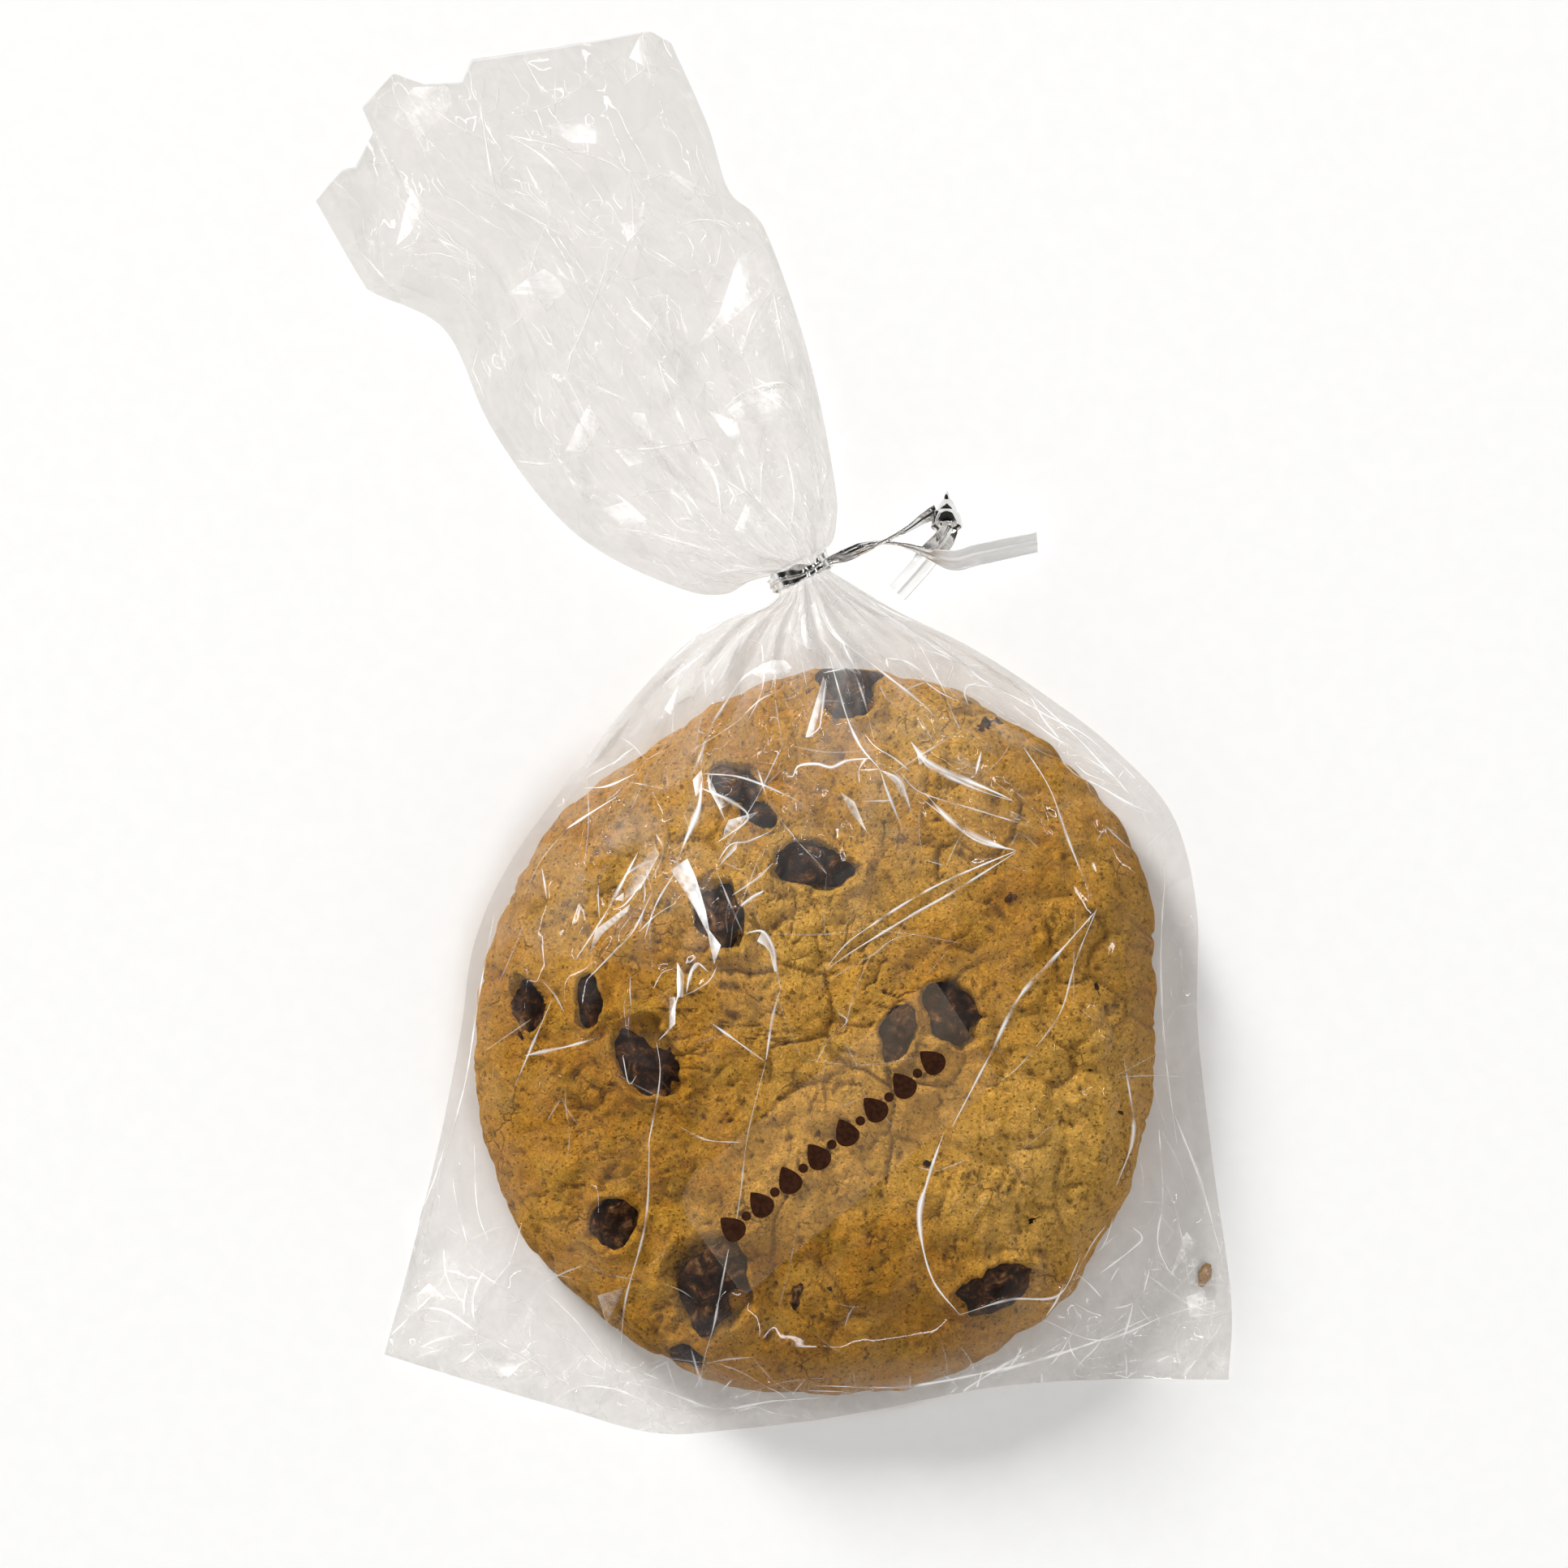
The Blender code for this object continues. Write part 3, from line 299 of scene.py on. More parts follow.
# Bright folds of the body that show as white patches, which are painted highlights: whiteness, and the
# outline of each
PAINTED_HIGHLIGHT_SHARDS = (
    (0.9, ((4.2, 16.5), (6.2, 19.1), (7.0, 16.2), (7.8, 13.7), (7.5, 11.8), (5.8, 12.0), (4.9, 12.2),
           (4.3, 14.0))),
    (0.8, ((-3.4, 8.8), (-1.7, 9.8), (0.1, 10.5), (1.8, 10.5), (2.9, 9.4), (1.8, 8.3), (-1.4, 7.7))),
    (0.8, ((20.0, -1.3), (22.4, -3.4), (22.0, -4.3), (21.3, -4.7), (20.9, -2.9))),
    (0.9, ((15.6, -5.4), (18.3, -6.7), (19.3, -9.3), (18.6, -9.3), (17.7, -7.4))),
    (0.9, ((-11.5, -6.9), (-10.2, -5.4), (-9.9, -8.0), (-11.1, -9.3))),
    (1.0, ((-14.8, -20.0), (-12.3, -18.3), (-11.0, -21.1), (-9.6, -25.8), (-9.1, -28.6), (-7.4, -30.8),
           (-8.4, -33.6), (-8.8, -31.7), (-9.3, -29.2), (-11.2, -25.5), (-13.1, -22.4))),
    (1.0, ((-2.2, -30.2), (-1.5, -28.8), (0.1, -30.8), (0.7, -34.6), (0.3, -34.6), (-0.4, -31.7),
           (-1.2, -30.8))),
    (0.7, ((-4.6, -25.0), (-1.2, -22.7), (-1.5, -23.3), (-4.3, -25.3))),
    (1.0, ((-13.7, -33.3), (-12.7, -35.2), (-12.9, -38.3), (-13.7, -38.3), (-13.8, -35.8))),
    (1.0, ((-14.8, -38.3), (-14.0, -38.3), (-14.0, -42.1), (-14.8, -43.0), (-14.9, -41.4))),
    (0.8, ((-12.1, -35.2), (-11.0, -33.5), (-10.5, -33.6), (-11.5, -34.6), (-11.8, -36.4))),
    (0.7, ((-25.6, -28.6), (-20.6, -24.9), (-20.8, -25.9), (-24.6, -29.2), (-26.4, -32.0))),
    (0.5, ((-20.8, -21.8), (-17.0, -16.2), (-16.4, -17.8), (-19.0, -22.6), (-21.4, -24.2))),
    (0.8, ((-6.3, -12.7), (-2.0, -11.5), (-4.2, -13.4), (-7.2, -15.6), (-6.9, -14.0))),
    (0.8, ((-6.6, -17.5), (-4.9, -15.4), (-5.2, -16.9), (-7.8, -19.5))),
    (0.9, ((60.6, -73.0), (62.0, -74.9), (58.2, -79.4), (59.6, -75.9))),
    (0.9, ((60.6, -82.5), (63.4, -81.6), (62.5, -85.8), (61.0, -85.4))),
    (0.7, ((62.9, -92.6), (64.4, -90.6), (66.3, -92.0), (65.8, -93.6))),
    (0.8, ((-44.4, -94.3), (-41.4, -92.0), (-40.1, -89.9), (-35.9, -91.6), (-38.9, -94.5), (-41.4, -94.9))),
    (0.8, ((-52.0, -82.3), (-50.3, -80.6), (-47.7, -82.7), (-50.7, -83.5))),
    (0.3, ((-25.4, -81.8), (-21.5, -80.6), (-24.1, -86.1))),
    (0.7, ((7.4, 8.1), (7.9, 7.0), (5.9, -0.7), (4.8, -0.7))),
    (0.8, ((-15.7, 3.4), (-13.6, 7.0), (-14.7, 2.4))),
    (0.8, ((-22.8, -24.2), (-21.5, -23.2), (-21.5, -24.5))),
    (1.0, ((-9.4, -6.0), (-8.1, -8.6), (-6.6, -10.6), (-7.6, -11.2), (-9.2, -8.1))),
    (0.9, ((9.8, -8.6), (11.9, -10.1), (13.7, -14.5), (11.4, -11.7))),
)

# Creases and white patches of the tail, as above: the creases' white partly painted highlight, the patches
# painted highlights
TAIL_CREASES = (
    (0.40, 1.0, ((-43.3, 94.4), (-42.0, 87.5), (-40.9, 81.2), (-39.4, 75.4))),
    (0.85, 0.9, ((-38.8, 87.3), (-34.1, 84.4), (-30.9, 81.2), (-27.8, 75.9), (-24.6, 73.3))),
    (0.35, 0.9, ((-38.8, 87.3), (-30.9, 85.4), (-24.1, 83.3), (-20.9, 81.0))),
    (0.45, 0.9, ((-14.4, 73.6), (-10.9, 74.9), (-6.7, 74.4), (-3.3, 71.7))),
    (0.35, 0.8, ((-23.8, 70.7), (-24.6, 67.0), (-26.7, 61.2), (-28.8, 56.5), (-30.4, 53.1))),
    (0.45, 0.9, ((-22.5, 63.3), (-18.8, 60.2), (-16.2, 57.0), (-14.6, 54.4))),
    (0.40, 0.9, ((-15.4, 62.5), (-15.2, 60.2), (-14.4, 56.5), (-14.6, 54.6))),
    (0.35, 0.9, ((0.1, 65.2), (-3.0, 60.2), (-4.4, 54.9))),
    (0.35, 0.8, ((0.1, 64.4), (1.2, 58.6), (2.5, 51.7))),
    (0.50, 1.0, ((-7.3, 47.0), (-4.1, 49.6), (0.6, 50.9), (3.0, 50.2), (4.9, 45.4), (5.4, 40.2),
                 (7.0, 33.8))),
    (0.60, 1.0, ((-16.7, 54.4), (-15.2, 49.6), (-11.5, 41.7), (-8.3, 37.0), (-7.3, 30.2))),
    (1.60, 0.3, ((-30.9, 39.1), (-28.8, 37.0), (-26.7, 32.3), (-24.6, 30.2))),
    (0.40, 0.7, ((-23.6, 29.6), (-18.3, 29.1), (-7.3, 25.9))),
    (0.60, 0.4, ((-58.3, 88.1), (-50.4, 74.9), (-45.7, 70.7))),
    (0.40, 0.4, ((-39.9, 89.1), (-30.9, 92.3), (-22.0, 99.1))),
    (0.35, 0.6, ((-54.5, 70.5), (-50.0, 72.0), (-46.0, 70.0))),
    (0.50, 1.0, ((-0.1, 50.1), (4.3, 45.2), (6.4, 39.2), (7.0, 32.2), (7.8, 28.4))),
    (0.50, 0.9, ((-1.7, 34.4), (-1.4, 39.2), (0.5, 43.0))),
    (0.40, 0.9, ((2.6, 29.5), (3.2, 33.8), (2.6, 38.2), (1.3, 43.0))),
    (0.50, 0.9, ((-20.2, 34.4), (-16.8, 35.3), (-13.6, 35.4))),
)
TAIL_PAINTED_HIGHLIGHT_SHARDS = (
    (1.0, ((-20.9, 98.6), (-19.1, 102.3), (-17.3, 100.2), (-16.7, 96.7), (-18.3, 95.4), (-18.8, 97.3))),
    (0.7, ((-55.4, 89.6), (-52.5, 94.4), (-47.3, 94.4), (-46.7, 91.7), (-50.4, 87.5), (-52.0, 86.5))),
    (0.8, ((-33.0, 88.6), (-28.8, 89.6), (-25.7, 88.6), (-25.7, 86.0), (-29.4, 86.2))),
    (0.9, ((-18.6, 78.6), (-19.6, 75.4), (-18.6, 74.9))),
    (0.8, ((-22.0, 74.4), (-18.6, 74.6), (-21.2, 71.5))),
    (0.6, ((-15.1, 82.3), (-10.7, 79.6), (-12.0, 77.5), (-14.6, 79.1))),
    (0.9, ((-54.9, 71.2), (-53.8, 76.0), (-52.8, 79.6), (-50.9, 76.5), (-53.1, 72.8))),
    (0.8, ((-38.8, 64.1), (-36.2, 65.9), (-33.3, 67.8), (-30.9, 65.9), (-30.2, 64.4), (-32.0, 62.8),
           (-32.8, 61.2), (-34.6, 63.8))),
    (0.9, ((-10.9, 56.7), (-7.8, 61.2), (-4.6, 70.7), (-3.6, 70.2), (-3.3, 65.4), (0.1, 65.2), (-5.7, 60.7))),
    (0.6, ((-6.7, 47.0), (-3.6, 49.1), (2.2, 50.4), (0.1, 45.4), (-2.5, 44.9), (-5.1, 45.4))),
    (1.0, ((-9.4, 47.0), (-5.1, 45.4), (-4.1, 40.2), (-6.2, 42.8))),
    (1.0, ((-20.4, 46.7), (-18.6, 46.5), (-17.5, 42.8), (-10.7, 32.5), (-17.3, 39.6), (-20.2, 44.4))),
    (0.9, ((-23.0, 41.2), (-20.7, 41.7), (-18.8, 39.4), (-20.9, 38.8))),
    (0.9, ((-26.7, 47.8), (-24.9, 44.4), (-27.3, 40.9), (-30.2, 41.2), (-28.6, 44.6))),
    (0.8, ((-33.6, 52.8), (-30.9, 52.2), (-30.7, 51.0))),
    (0.8, ((-28.8, 52.2), (-25.7, 50.7), (-20.9, 48.3), (-24.1, 49.6), (-26.7, 49.6))),
    (0.8, ((-5.5, 29.5), (-3.9, 33.3), (-2.8, 31.6), (-3.9, 28.9))),
    (0.6, ((-25.0, 32.7), (-21.2, 33.8), (-18.3, 31.1), (-22.3, 30.0))),
)
CREASE_STEP = 0.6
CREASE_LIFT = 0.03
SHARD_STEP = 0.6
SHARD_LIFT = 0.06

# The label and what is printed on it
LABEL_CORNERS = ((-14.7, -66.8), (23.3, -35.5), (32.9, -50.3), (-4.1, -81.6))
LABEL_ROUNDING = (4.5, 1.2, 1.2, 1.2)
LABEL_THICKNESS = 0.08
LABEL_GAP = 0.12
LABEL_GRID = (150, 58)
PRINT_START = (0.09, 0.52)
PRINT_END = (0.86, 0.45)
PRINT_MARKS = 15
PRINT_HEIGHT = 4.4
PRINT_THICKNESS = 0.03
PRINT_RINGS = (0.02, 0.35, 0.7, 1.0)
LABEL_PASSES = 60

# The tie. Its two strands leave the collar twisted together; one ends in a cone and a free end
STRIP_WIDTH = 3.4
STRIP_THICKNESS = 0.14
WIRE_RADIUS = 0.26
COLLAR_GAP = 0.3
# Each strand: place, width direction, and share of the full width
STRAND_TO_CONE = (
    (6.9, 24.2, 5.7, 0.3, 0.7, 0.7, 0.22),
    (8.7, 24.9, 6.3, 0.2, 0.7, 0.7, 0.24),
    (11.1, 25.5, 6.9, -0.4, 0.9, 0.5, 0.30),
    (13.8, 26.7, 7.3, -0.4, 0.5, 0.9, 0.34),
    (16.2, 27.8, 7.8, -0.2, 0.1, 1.0, 0.32),
    (19.5, 29.5, 7.8, -0.2, 0.5, 1.0, 0.42),
    (21.9, 31.1, 7.4, -0.3, 0.7, 0.8, 0.60),
    (23.9, 32.2, 6.9, -0.4, 0.8, 0.6, 0.75),
)
STRAND_FROM_CONE = (
    (25.9, 29.9, 6.2, -0.9, 0.1, 0.1, 0.8),
    (24.9, 28.0, 5.2, -0.8, 0.4, 0.0, 0.95),
    (23.0, 26.0, 3.9, -0.7, 0.7, -0.15, 1.0),
    (20.8, 23.4, 3.1, -0.7, 0.7, -0.25, 1.0),
    (18.2, 20.5, 2.7, -0.7, 0.7, -0.3, 1.0),
)
STRAND_STRAIGHT = (
    (7.1, 24.9, 5.9, 0.2, 0.7, 0.7, 0.22),
    (8.7, 25.5, 6.5, 0.0, 0.7, 0.7, 0.24),
    (10.5, 26.2, 7.3, -0.4, 0.8, -0.3, 0.30),
    (12.8, 27.1, 7.5, -0.1, 0.8, -0.7, 0.34),
    (16.0, 27.7, 6.9, 0.0, 0.2, -1.0, 0.32),
    (19.2, 27.3, 6.6, -0.1, -0.3, -1.0, 0.45),
    (22.4, 26.2, 7.0, -0.2, -0.5, -1.0, 0.80),
    (26.4, 25.1, 7.2, -0.1, -0.9, -0.6, 1.0),
    (29.8, 25.9, 6.9, 0.2, -1.0, -0.5, 1.0),
    (34.4, 26.9, 6.0, 0.2, -1.0, -0.6, 1.0),
    (38.6, 27.8, 5.2, 0.2, -1.0, -0.7, 1.0),
)
CONE_TIP = (25.4, 35.2, 5.6)
CONE_AXIS = (0.0, -0.94, 0.34)
CONE_SIDES = 96
# Places along the cone and radii: its tip, two overlapping turns, and the open end with a curl in it
CONE_PROFILE = (
    (0.0, 0.06), (0.10, 0.20), (0.5, 0.36), (1.2, 0.52), (1.28, 0.50), (1.30, 0.62), (1.38, 0.72),
    (1.9, 1.02), (2.5, 1.30), (3.1, 1.52), (3.22, 1.52), (3.24, 1.70), (3.32, 1.78), (4.0, 2.02),
    (4.7, 2.20), (5.4, 2.32), (5.5, 2.30), (5.48, 2.16), (5.0, 2.02), (4.6, 1.90), (4.6, 1.50),
    (5.2, 1.46), (5.26, 1.40), (5.2, 1.30), (4.7, 1.22), (4.7, 0.70), (5.1, 0.66), (5.1, 0.05),
)


# Lines, grids and noise

def spread(line, count):
    """Return points at even distances along a line of straight runs."""
    line = np.asarray(line, float)
    steps = np.linalg.norm(np.diff(line, axis=0), axis=1)
    travelled = np.concatenate([[0.0], np.cumsum(steps)])
    wanted = np.linspace(0.0, travelled[-1], count)
    return np.column_stack([np.interp(wanted, travelled, column) for column in line.T])


def curve(before, start, end, after, share):
    """Return the place at a share of the way from start to end, on a smooth curve through all four."""
    bend = 2 * before - 5 * start + 4 * end - after
    turn = 3 * start - before - 3 * end + after
    return start + 0.5 * ((end - before) * share + bend * share**2 + turn * share**3)


def smooth_line(points, count):
    """Return points at even distances along a smooth curve through the given ones."""
    given = np.asarray(points, float)
    padded = np.vstack([2 * given[0] - given[1], given, 2 * given[-1] - given[-2]])
    share = np.linspace(0, 1, 24, endpoint=False)[:, None]
    runs = [curve(*four, share) for four in zip(padded, padded[1:], padded[2:], padded[3:])]
    return spread(np.vstack([*runs, given[-1:]]), count)


def patch(start, end, left, right):
    """Fill four boundary lines: rows run from start to end, columns from left to right."""
    across = np.linspace(0, 1, len(start))[None, :, None]
    along = np.linspace(0, 1, len(left))[:, None, None]
    rows = (1 - along) * start[None] + along * end[None]
    columns = (1 - across) * left[:, None] + across * right[:, None]
    first = (1 - across) * start[0] + across * start[-1]
    last = (1 - across) * end[0] + across * end[-1]
    return rows + columns - (1 - along) * first - along * last


def ease(value, low, high):
    """Rise smoothly from 0 at low to 1 at high."""
    share = np.clip((value - low) / (high - low), 0.0, 1.0)
    return share * share * (3 - 2 * share)


def turned(x, y, angle):
    """Return places in axes that are turned by an angle."""
    return x * math.cos(angle) + y * math.sin(angle), y * math.cos(angle) - x * math.sin(angle)


def away_from(centre, x, y):
    """Return how far places are from a centre."""
    return np.hypot(x - centre[0], y - centre[1])


def spots(x, y, table):
    """Return the sum of soft round spots. Each has its place, its reach and its share."""
    return sum(share * np.exp(-(away_from(spot, x, y) / reach) ** 2) for *spot, reach, share in table)


def between(table, row, column, u, v):
    """Read a table at shares u and v of the step past a row and a column. It repeats past its edges."""
    rows, columns = table.shape[:2]
    near_row, far_row = row % rows, (row + 1) % rows
    left, right = column % columns, (column + 1) % columns
    near = table[near_row, left] * (1 - u) + table[near_row, right] * u
    far = table[far_row, left] * (1 - u) + table[far_row, right] * u
    return near * (1 - v) + far * v


def lumps(x, y, size, seed):
    """Return smooth noise from -1 to 1 with lumps of about the given size."""
    table = np.random.default_rng(seed).uniform(-1, 1, (LUMP_CELLS, LUMP_CELLS))
    across, along = (part / size for part in turned(x, y, -0.7 - seed))
    column = np.floor(across).astype(int)
    row = np.floor(along).astype(int)
    return between(table, row, column, ease(across - column, 0, 1), ease(along - row, 0, 1))


def grid_faces(rows, columns, ring=False):
    """Return the quads of a grid of points, joined round where it is a ring."""
    span = columns if ring else columns - 1
    row, column = np.meshgrid(np.arange(rows - 1), np.arange(span), indexing="ij")
    after = (column + 1) % columns
    corners = (row * columns + column, row * columns + after,
               (row + 1) * columns + after, (row + 1) * columns + column)
    return np.stack([corner.ravel() for corner in corners], axis=1)


def join(parts):
    """Return the points and the faces of several parts as one."""
    points = []
    faces = []
    for part_points, part_faces in parts:
        start = len(points)
        points += list(part_points)
        faces += [tuple(corner + start for corner in face) for face in part_faces]
    return points, faces


def make_piece(name, points, faces, finish, slot):
    """Make a piece from points in millimetres. It rides on the one body."""
    mesh = bpy.data.meshes.new(name)
    mesh.from_pydata(np.asarray(points, float) * MM, [], [tuple(map(int, face)) for face in faces])
    mesh.update()
    mesh.polygons.foreach_set("use_smooth", [True] * len(mesh.polygons))
    mesh.materials.append(finish)
    piece = bpy.data.objects.new(name, mesh)
    bpy.context.scene.collection.objects.link(piece)
    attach(piece, "root")
    return piece


def store(piece, **fields):
    """Keep named values on a piece's points, for its material."""
    for name, values in fields.items():
        kept = piece.data.attributes.new(name, "FLOAT", "POINT")
        kept.data.foreach_set("value", np.asarray(values, np.float32).ravel())


def tree_of(*pieces):
    """Return a search tree over the faces of pieces, in metres."""
    parts = []
    for mesh in (piece.data for piece in pieces):
        points = [vertex.co.copy() for vertex in mesh.vertices]
        parts.append((points, [tuple(face.vertices) for face in mesh.polygons]))
    return BVHTree.FromPolygons(*join(parts))


def heights(tree, x, y, from_above=True):
    """Return where a tree is met from above or from below, and not-a-number where it isn't."""
    start = RAY_START if from_above else -RAY_START
    aim = Vector((0, 0, -1 if from_above else 1))
    found = np.full(x.shape, np.nan)
    for place in np.ndindex(x.shape):
        hit = tree.ray_cast(Vector((x[place], y[place], start)) * MM, aim)[0]
        if hit is not None:
            found[place] = hit.z / MM
    return found


# The cookie

def cookie_reach(angle):
    """Return the cookie's radius at an angle, smoothly between the measured radii."""
    count = len(COOKIE_RADII)
    radii = np.asarray(COOKIE_RADII)
    place = (angle / (2 * math.pi)) % 1.0 * count
    index = np.floor(place).astype(int)
    four = (radii[(index + step) % count] for step in (-1, 0, 1, 2))
    return curve(*four, place - index)


def dome_height(x, y):
    """Return the height of the cookie's dome without its relief."""
    out_x = x - COOKIE_CENTRE[0]
    out_y = y - COOKIE_CENTRE[1]
    share = np.clip(np.hypot(out_x, out_y) / cookie_reach(np.arctan2(out_y, out_x)), 0.0, 1.0)
    dome = (1 - share**DOME_POWER) ** (1 / DOME_ROOT)
    return COOKIE_WAIST + (COOKIE_HEIGHT - COOKIE_WAIST) * dome


def chip_distance(x, y, chip, margin=0.0):
    """Return how far out from a chip's middle a place is, 1 at the chip's edge."""
    chip_x, chip_y, width, length, turn = chip[:5]
    along, aside = turned(x - chip_x, y - chip_y, math.radians(turn))
    return np.hypot(along / (width / 2 + margin), aside / (length / 2 + margin))


def cells(x, y, size, seed):
    """Return the distance to the nearest of scattered points, and how much nearer it is than the next."""
    count = CELL_COUNT
    shift = np.random.default_rng(seed).uniform(0.08, 0.92, (count, count, 2))
    across = x / size + 20
    along = y / size + 20
    column = np.floor(across).astype(int)
    row = np.floor(along).astype(int)
    first = np.full(x.shape, 9.0)
    second = np.full(x.shape, 9.0)
    for step_x in (-1, 0, 1):
        for step_y in (-1, 0, 1):
            offset = shift[(row + step_y) % count, (column + step_x) % count]
            gap = np.hypot(column + step_x + offset[..., 0] - across, row + step_y + offset[..., 1] - along)
            second = np.minimum(second, np.maximum(first, gap))
            first = np.minimum(first, gap)
    return first * size, (second - first) * size


def pits(x, y, count, seed):
    """Return small pores, as a depth from 0 to 1."""
    rng = np.random.default_rng(seed)
    depth = np.zeros_like(x)
    turns = rng.uniform(0, 2 * math.pi, count)
    reach = np.sqrt(rng.uniform(0, 0.98, count)) * cookie_reach(turns)
    places = np.column_stack([reach * np.cos(turns), reach * np.sin(turns)]) + COOKIE_CENTRE
    radii = rng.uniform(0.25, 0.5, count) * rng.choice([1.0, 1.8], count, p=[0.88, 0.12])
    stretch = rng.uniform(1.0, 2.6, count)
    tilt = rng.uniform(0, math.pi, count)
    order = np.argsort(y, axis=None)
    flat_x = x.ravel()[order]
    flat_y = y.ravel()[order]
    flat = depth.ravel()
    for (pit_x, pit_y), radius, long, turn in zip(places, radii, stretch, tilt):
        first, last = np.searchsorted(flat_y, (pit_y - radius * long, pit_y + radius * long))
        along, aside = turned(flat_x[first:last] - pit_x, flat_y[first:last] - pit_y, turn)
        hollow = np.clip(1 - (along / (radius * long)) ** 2 - (aside / radius) ** 2, 0.0, 1.0)
        flat[order[first:last]] = np.maximum(flat[order[first:last]], hollow)
    return flat.reshape(x.shape)


def dough_relief(x, y, sockets):
    """Return the dough's relief above its dome, and how dark its pits and cracks are: painted shade in their
    hollows.
    """
    relief = sum(height * lumps(x, y, size, seed) for height, size, seed in DOUGH_LUMPS)
    bend_x = x + 1.6 * lumps(x, y, 5.0, 51)
    bend_y = y + 1.6 * lumps(x, y, 5.0, 52)
    far, seam = cells(bend_x, bend_y, 8.5, 61)
    relief += 0.75 * np.clip(1 - (far / 5.5) ** 2, 0, 1) - 0.35
    far, small_seam = cells(bend_x + lumps(x, y, 2.0, 53), bend_y, 3.4, 62)
    relief += 0.32 * np.clip(1 - (far / 2.3) ** 2, 0, 1) - 0.15
    open_seam = ease(lumps(x, y, 9.0, 24), 0.05, 0.45)
    crack = open_seam * (1 - ease(seam, 0.05, 0.75))
    small_crack = 0.7 * ease(lumps(x, y, 6.0, 27), 0.15, 0.5) * (1 - ease(small_seam, 0.0, 0.45))
    crack = np.maximum(crack, small_crack)
    relief -= 0.55 * crack
    for chip in CHIPS if sockets else ():
        out = chip_distance(x, y, chip, 0.1) + 0.16 * lumps(x, y, 2.6, 71) + 0.09 * lumps(x, y, 1.2, 72)
        relief += (0.85 + 0.6 * lumps(x, y, 3.5, 73)) * np.exp(-((out - 1.08) / 0.2) ** 2)
        relief -= 2.2 * (1 - ease(out, 0.78, 1.02))
    crater = np.hypot((x - CRATER_PLACE[0]) / CRATER_RADII[0], (y - CRATER_PLACE[1]) / CRATER_RADII[1])
    relief -= 0.7 * np.exp(-((crater - 1.0) / 0.2) ** 2)
    # The pits sink the dough, and the same depth paints shade into the pores and cracks
    pores = pits(x, y, PORE_COUNT, 31)
    return relief - 0.4 * pores, np.maximum(pores, 0.55 * crack)


def make_cookie(finish):
    """Make the dough as one closed body, with how brown it is, the painted shade of its pits and cracks, and
    its painted light kept on its points.
    """
    turns = np.linspace(0, 2 * math.pi, COOKIE_TURNS, endpoint=False)[None, :]
    reach = cookie_reach(turns)
    inner = np.linspace(COOKIE_CENTRE_HOLE, COOKIE_RIM_START, COOKIE_INNER_RINGS)
    inner = np.arcsin(inner ** (DOME_POWER / 2))
    outer = np.linspace(inner[-1], math.pi / 2, COOKIE_RIM_RINGS + 1)[1:]
    lean = np.concatenate([inner, outer])[:, None]
    share = np.sin(lean) ** (2 / DOME_POWER)
    drop = np.cos(lean) ** (2 / DOME_ROOT)
    upper_z = COOKIE_WAIST + (COOKIE_HEIGHT - COOKIE_WAIST) * drop * np.ones_like(reach)
    out = share * reach

    under = np.linspace(0.0, 1.0, COOKIE_LOWER_RINGS + 1)[1:, None]
    bow = np.clip(under / FOOT_START, 0, 1) * math.pi / 2
    under_share = COOKIE_FOOT + (1 - COOKIE_FOOT) * np.cos(bow)
    flat_share = COOKIE_FOOT * (1 - (under - FOOT_START) / FOOT_SPAN)
    under_share = np.where(under > FOOT_START, flat_share, under_share)
    under_z = COOKIE_WAIST - (COOKIE_WAIST - COOKIE_BASE) * np.sin(bow) * np.ones_like(reach)
    out = np.vstack([out, under_share * reach])
    z = np.vstack([upper_z, under_z])
    aside = np.vstack([np.sin(lean) ** 2.5 * np.ones_like(reach), np.cos(bow) * np.ones_like(reach)])
    rise = np.vstack([np.cos(lean) ** 0.4 * np.ones_like(reach), np.zeros_like(under_z)])

    x = COOKIE_CENTRE[0] + out * np.cos(turns)
    y = COOKIE_CENTRE[1] + out * np.sin(turns)
    relief, pores = dough_relief(x + 0.6 * z, y - 0.35 * z, False)
    flat_relief, flat_pores = dough_relief(x, y, True)
    steep = ease(out / reach, 0.86, 0.99)
    relief = flat_relief * (1 - steep) + 0.75 * relief * steep
    pores = flat_pores * (1 - steep) + pores * steep
    relief = relief - DOUGH_SINK
    x = x + aside * relief * np.cos(turns)
    y = y + aside * relief * np.sin(turns)
    z = np.maximum(z + rise * relief, COOKIE_BASE)

    rows = len(x)
    points = np.stack([x, y, z], axis=-1).reshape(-1, 3)
    middle = points[:COOKIE_TURNS].mean(axis=0)
    below = points[-COOKIE_TURNS:].mean(axis=0)
    points = np.vstack([points, middle, below])
    faces = [tuple(face[::-1]) for face in grid_faces(rows, COOKIE_TURNS, ring=True)]
    top = rows * COOKIE_TURNS
    last = (rows - 1) * COOKIE_TURNS
    for step in range(COOKIE_TURNS):
        after = (step + 1) % COOKIE_TURNS
        faces.append((top, step, after))
        faces.append((top + 1, last + after, last + step))
    cookie = make_piece("cookie", points, faces, finish, "crumb")
    dark = np.concatenate([pores.ravel(), [0.0, 0.0]])
    wall = np.concatenate([steep.ravel() * np.ones(rows * COOKIE_TURNS), [0.0, 0.0]])
    # Paler spots are partly painted light; darker spots are browner dough
    bake_and_painted_light = spots(points[:, 0], points[:, 1], BAKES_AND_PAINTED_LIGHT)
    store(cookie, pores=dark, rim=wall, pale=np.clip(bake_and_painted_light, 0, 1), toasted=np.clip(-bake_and_painted_light, 0, 1))
    return cookie


